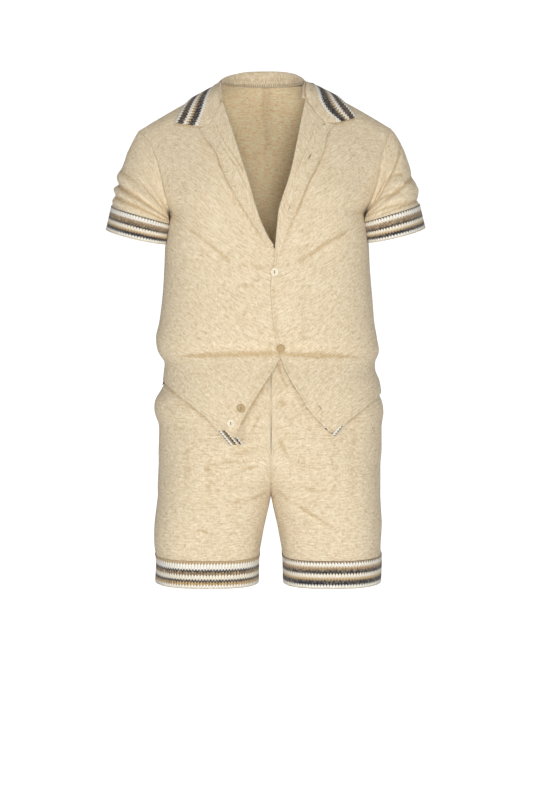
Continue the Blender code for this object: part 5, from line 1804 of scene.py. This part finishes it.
class GARMENT_OT_shorts(bpy.types.Operator):
    """Builds the fronts and backs of the shorts with their stitching and middle seams."""

    bl_idname = "garment.shorts"
    bl_label = "Shorts"

    def execute(self, context):
        for facing, part in ((-1, "front"), (1, "back")):
            for word, side in SIDES:
                grid = shorts_panel(side, facing)
                cloth = own_cloth(
                    f"shorts_{part}_{word}_cloth", grid, f"shorts_{part}_{word}")
                fork = int((grid[:, 0, 2] < CROTCH_Z + 14).sum())
                lines = [
                    edge_run(grid[16:], "last_column", SIDE_SEAM_IN),
                    edge_run(grid[fork:], "first_column", MIDDLE_SEAM_IN)]
                seams = sewn(f"shorts_{part}_{word}_stitches", lines, half_wall())
                declare_cloth(grid)
        for word, facing in (("fly", -1), ("seat", 1)):
            seam = (shorts_panel(-1, facing)[:, 0] + shorts_panel(1, facing)[:, 0]) / 2
            seam = seam[seam[:, 2] > CROTCH_Z - 1]
            seam_bead(f"{word}_seam", seam, (0.0, facing, 0.0), "dark_thread", 0.75)
        for word, side in SIDES:
            seam = (shorts_panel(side, -1)[:, 0] + shorts_panel(side, 1)[:, 0]) / 2
            seam = seam[seam[:, 2] < CROTCH_Z + 1]
            seam_bead(f"inseam_{word}", seam, (-side, 0.0, 0.0), "seam_thread", 0.4)
        return {"FINISHED"}


class GARMENT_OT_leg_tapes(bpy.types.Operator):
    """Builds the striped tapes round the leg hems."""

    bl_idname = "garment.leg_tapes"
    bl_label = "Leg Tapes"

    def execute(self, context):
        for word, side in SIDES:
            band = leg_tape(side)
            striped = striped_tape(
                f"leg_{word}_stripes", band, f"leg_tape_{word}", f"{word}_leg", 0)
            edges = sewn_tape(
                f"leg_{word}_stitches", band, ("first_row", "last_row"), TAPE_STITCH_IN)
            declare_cloth(
                band)
        return {"FINISHED"}


class GARMENT_OT_waistband(bpy.types.Operator):
    """Builds the gathered waistband of the shorts."""

    bl_idname = "garment.waistband"
    bl_label = "Waistband"

    def execute(self, context):
        grid = waistband_surface()
        cloth = cloth_piece(
            "waistband_cloth", grid, WAISTBAND - 0.1, "waistband", "oatmeal_cloth",
            [slubby_linen_cotton("outside"), slubby_linen_cotton("inside")], closed=True)
        lines = [edge_run(grid, edge, WAIST_STITCH_IN) for edge in ("last_row", "first_row")]
        seams = sewn("waistband_stitches", lines, WAISTBAND / 2)
        declare_cloth(
            grid,
            closed=True)
        return {"FINISHED"}


# Half outline of a button, as shares of its radius and thickness: its well, dished or nearly
# flat, and its rim.
DISHED_WELL = [(0, 0.62), (0.46, 0.62), (0.56, 0.78)]
FLAT_WELL = [(0, 0.9), (0.46, 0.9), (0.56, 0.92)]
BUTTON_RIM = [
    (0.68, 0.98), (0.82, 1.0), (0.93, 0.9), (0.99, 0.66), (1, 0.45), (0.95, 0.16), (0.8, 0.02),
    (0, 0),
]


class GARMENT_OT_buttons(bpy.types.Operator):
    """Builds the four two-hole buttons with the thread that holds them."""

    bl_idname = "garment.buttons"
    bl_label = "Buttons"

    def execute(self, context):
        radius = context.scene.garment_buttons.radius / MM
        for place in BUTTONS:
            side = 1 if place.on_left else -1
            seat, normal = on_front(side, place.x, place.z)
            turned = Vector(normal).to_track_quat("Z", "Y").to_matrix()
            seat = Vector(seat) + Vector(normal) * (half_wall() + LAY_GAP)
            low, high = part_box(place.name)
            middle = (Vector(low) + Vector(high)) / 2 / MM
            settled = Vector(normal) * ((middle - seat).dot(Vector(normal)) - BUTTON_THICK / 2)
            seat += settled if settled.dot(Vector(normal)) > 0 else Vector((0, 0, 0))
            profile = (FLAT_WELL if place.name == "button_waist" else DISHED_WELL) + BUTTON_RIM
            mesh = bpy.data.meshes.new(f"{place.name}_disc")
            points = [
                Vector((radius * out, 0, share * BUTTON_THICK)) * MM for out, share in profile]
            mesh.from_pydata(points, [(i, i + 1) for i in range(len(points) - 1)], [])
            brown = place.name in ("button_waist", "button_low")
            mesh.materials.append(horn_look_polyester("brown" if brown else "pale"))
            disc = placed(f"{place.name}_disc", mesh)
            screw = disc.modifiers.new("turn", "SCREW")
            screw.steps = screw.render_steps = 48
            screw.use_merge_vertices = True
            screw.merge_threshold = 0.00004
            disc.matrix_world = turned.to_4x4()
            disc.location = seat * MM
            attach(disc, "root")
            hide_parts(place.name)
            build = bmesh.new()
            for offset in (-1, 1):
                off = offset * BUTTON_HOLE_APART / 2
                rim = seat + turned @ Vector((0, off, HOLE_HEIGHT))
                upright = turned.to_4x4()
                upright.translation = rim * MM
                bmesh.ops.create_cone(
                    build, cap_ends=True, segments=16, radius1=BUTTON_HOLE_R * MM,
                    radius2=BUTTON_HOLE_R * MM, depth=0.0006, matrix=upright)
            loose_piece(
                f"{place.name}_holes", build, sewing_thread("dark_thread"), False)
            build = bmesh.new()
            across = turned @ Vector((0, 1, 0))
            start = seat - across * (BUTTON_HOLE_APART / 2 + 0.4)
            shares = np.linspace(0, BUTTON_HOLE_APART + 0.8, 6)
            for aside in (-0.35, 0.35):
                points = np.array([
                    start + across * s + (turned @ Vector((aside, 0, BUTTON_THREAD_HEIGHT)))
                    for s in shares])
                stitched_line(
                    build, points, np.tile(normal, (6, 1)), 0.25, pitch=0.8,
                    length=BUTTON_HOLE_APART + 0.3)
            loose_piece(
                f"{place.name}_thread", build, sewing_thread("dark_thread"))
        return {"FINISHED"}


class GARMENT_OT_buttonholes(bpy.types.Operator):
    """Builds the worked buttonholes: a ring of close stitches round a dark block in the slit, painted
    shade of the cut.
    """

    bl_idname = "garment.buttonholes"
    bl_label = "Buttonholes"

    def execute(self, context):
        rings, slits = bmesh.new(), bmesh.new()
        for hole in BUTTONHOLES:
            lift = half_wall() + (LAPEL_LIFT + 0.75 if hole.on_lapel else 0.0)
            ends, normals = on_front(1, [hole.x0, hole.x1], [hole.z0, hole.z1], lift)
            normal = normals.mean(axis=0)
            middle, run = ends.mean(axis=0), ends[1] - ends[0]
            half = np.linalg.norm(run) / 2
            run = run / (2 * half)
            aside = np.cross(normal, run)
            turns = np.linspace(0, math.tau, 25)
            ring = np.array([
                middle + run * half * math.cos(t) + aside * 1.25 * math.copysign(
                    abs(math.sin(t)) ** 0.5, math.sin(t)) for t in turns])
            stitched_line(rings, ring, np.tile(normal, (25, 1)), 0.1, pitch=1.1, length=1.0)
            # A dark block in the thread's colour fills each slit: painted shade of the cut.
            flat = [middle + run * half * 0.9 * a + aside * 0.75 * b + normal * 0.35
                    for a, b in ((-1, 0), (0, -1), (1, 0), (0, 1))]
            deep = [point - normal * 0.6 for point in flat]
            top = [slits.verts.new(Vector(point) * MM) for point in flat]
            low = [slits.verts.new(Vector(point) * MM) for point in deep]
            slits.faces.new(top)
            slits.faces.new(low[::-1])
            for k in range(4):
                slits.faces.new((top[k], low[k], low[(k + 1) % 4], top[(k + 1) % 4]))
        loose_piece("buttonhole_rings", rings, sewing_thread("seam_thread"))
        loose_piece("buttonhole_slits", slits, sewing_thread("dark_thread"), False)
        return {"FINISHED"}


FLOOR_Z = -1.5
# The camera stands far off, a little over the middle of the garment, and looks slightly down.
CAMERA_PLACE = (0, -3.2, -0.302)
CAMERA_TILT_DEG = 85.3
CAMERA_LENS = 79.74
LIT_POINT = (0, 0, -0.42)


class GARMENT_OT_stage(bpy.types.Operator):
    """Sets up the pale floor, the soft lights and the camera."""

    bl_idname = "garment.stage"
    bl_label = "Stage"

    def execute(self, context):
        scene = context.scene
        look = scene.garment_stage
        build = bmesh.new()
        bmesh.ops.create_grid(build, x_segments=24, y_segments=24, size=30.0)
        for vert in build.verts:
            vert.co.z = FLOOR_Z
        mesh = bpy.data.meshes.new("studio_floor")
        build.to_mesh(mesh)
        build.free()
        mesh.materials.append(matt_white_paint())
        floor = placed("studio_floor", mesh)
        world = bpy.data.worlds.new("studio")
        world.use_nodes = True
        scene.world = world
        background = world.node_tree.nodes["Background"]
        seen = add_node(world.node_tree, "ShaderNodeLightPath")
        strength = add_node(
            world.node_tree, "ShaderNodeMapRange", {"To Min": look.surround, "To Max": 1.1},
            {"Value": seen.outputs["Is Camera Ray"]})
        world.node_tree.links.new(strength.outputs[0], background.inputs["Strength"])
        background.inputs["Color"].default_value = (1.0, 1.0, 1.0, 1.0)
        lamps = [
            ("key", look.key_power, (-1.6, -2.7, -0.4), 1.5),
            ("front", look.front_power, (0.15, -3.4, -0.5), 0.7),
            ("fill", look.fill_power, (0.9, -2.6, -0.8), 1.8),
            ("top", look.top_power, (0.1, -0.4, 2.2), 1.8),
            ("back", look.back_power, (0.6, 2.8, 0.6), 2.2),
        ]
        for name, power, place, width in lamps:
            data = bpy.data.lights.new(f"{name}_light", "AREA")
            data.energy = power
            data.size = width
            lamp = placed(f"{name}_light", data)
            lamp.location = place
            aim = Vector(LIT_POINT) - Vector(place)
            lamp.rotation_euler = aim.to_track_quat("-Z", "Y").to_euler()
        data = bpy.data.cameras.new("camera")
        data.lens = CAMERA_LENS
        data.sensor_width = 36.0
        camera = placed("camera", data)
        camera.location = CAMERA_PLACE
        camera.rotation_euler = (math.radians(CAMERA_TILT_DEG), 0, 0)
        scene.camera = camera
        scene.view_settings.view_transform = "Standard"
        return {"FINISHED"}


OPERATORS = (
    GARMENT_OT_shirt_body, GARMENT_OT_lapels, GARMENT_OT_collar, GARMENT_OT_sleeves,
    GARMENT_OT_hem_corners, GARMENT_OT_shorts, GARMENT_OT_leg_tapes, GARMENT_OT_waistband,
    GARMENT_OT_buttons, GARMENT_OT_buttonholes, GARMENT_OT_stage,
)


class GARMENT_PT_build(bpy.types.Panel):
    """Lists the pieces of the garment and its sizes and colours."""

    bl_idname = "GARMENT_PT_build"
    bl_label = "Shirt and Shorts"
    bl_space_type = "VIEW_3D"
    bl_region_type = "UI"
    bl_category = "Garment"

    def draw(self, context):
        layout = self.layout
        for group in ("garment_cloth", "garment_buttons", "garment_stage"):
            settings = getattr(context.scene, group)
            box = layout.box()
            for name in settings.bl_rna.properties.keys():
                if name not in ("rna_type", "name"):
                    box.prop(settings, name)
        for operator in OPERATORS:
            layout.operator(operator.bl_idname)


CLASSES = (ClothSettings, ButtonSettings, StageSettings) + OPERATORS + (GARMENT_PT_build,)


def register():
    for cls in CLASSES:
        bpy.utils.register_class(cls)
    bpy.types.Scene.garment_cloth = bpy.props.PointerProperty(type=ClothSettings)
    bpy.types.Scene.garment_buttons = bpy.props.PointerProperty(type=ButtonSettings)
    bpy.types.Scene.garment_stage = bpy.props.PointerProperty(type=StageSettings)


def unregister():
    del bpy.types.Scene.garment_stage
    del bpy.types.Scene.garment_buttons
    del bpy.types.Scene.garment_cloth
    for cls in reversed(CLASSES):
        bpy.utils.unregister_class(cls)


def main():
    register()
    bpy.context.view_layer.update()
    bpy.ops.garment.shirt_body()
    bpy.ops.garment.lapels()
    bpy.ops.garment.collar()
    bpy.ops.garment.sleeves()
    bpy.ops.garment.hem_corners()
    bpy.ops.garment.shorts()
    bpy.ops.garment.leg_tapes()
    bpy.ops.garment.waistband()
    bpy.ops.garment.buttons()
    bpy.ops.garment.buttonholes()
    bpy.ops.garment.stage()


if __name__ == "__main__":
    main()
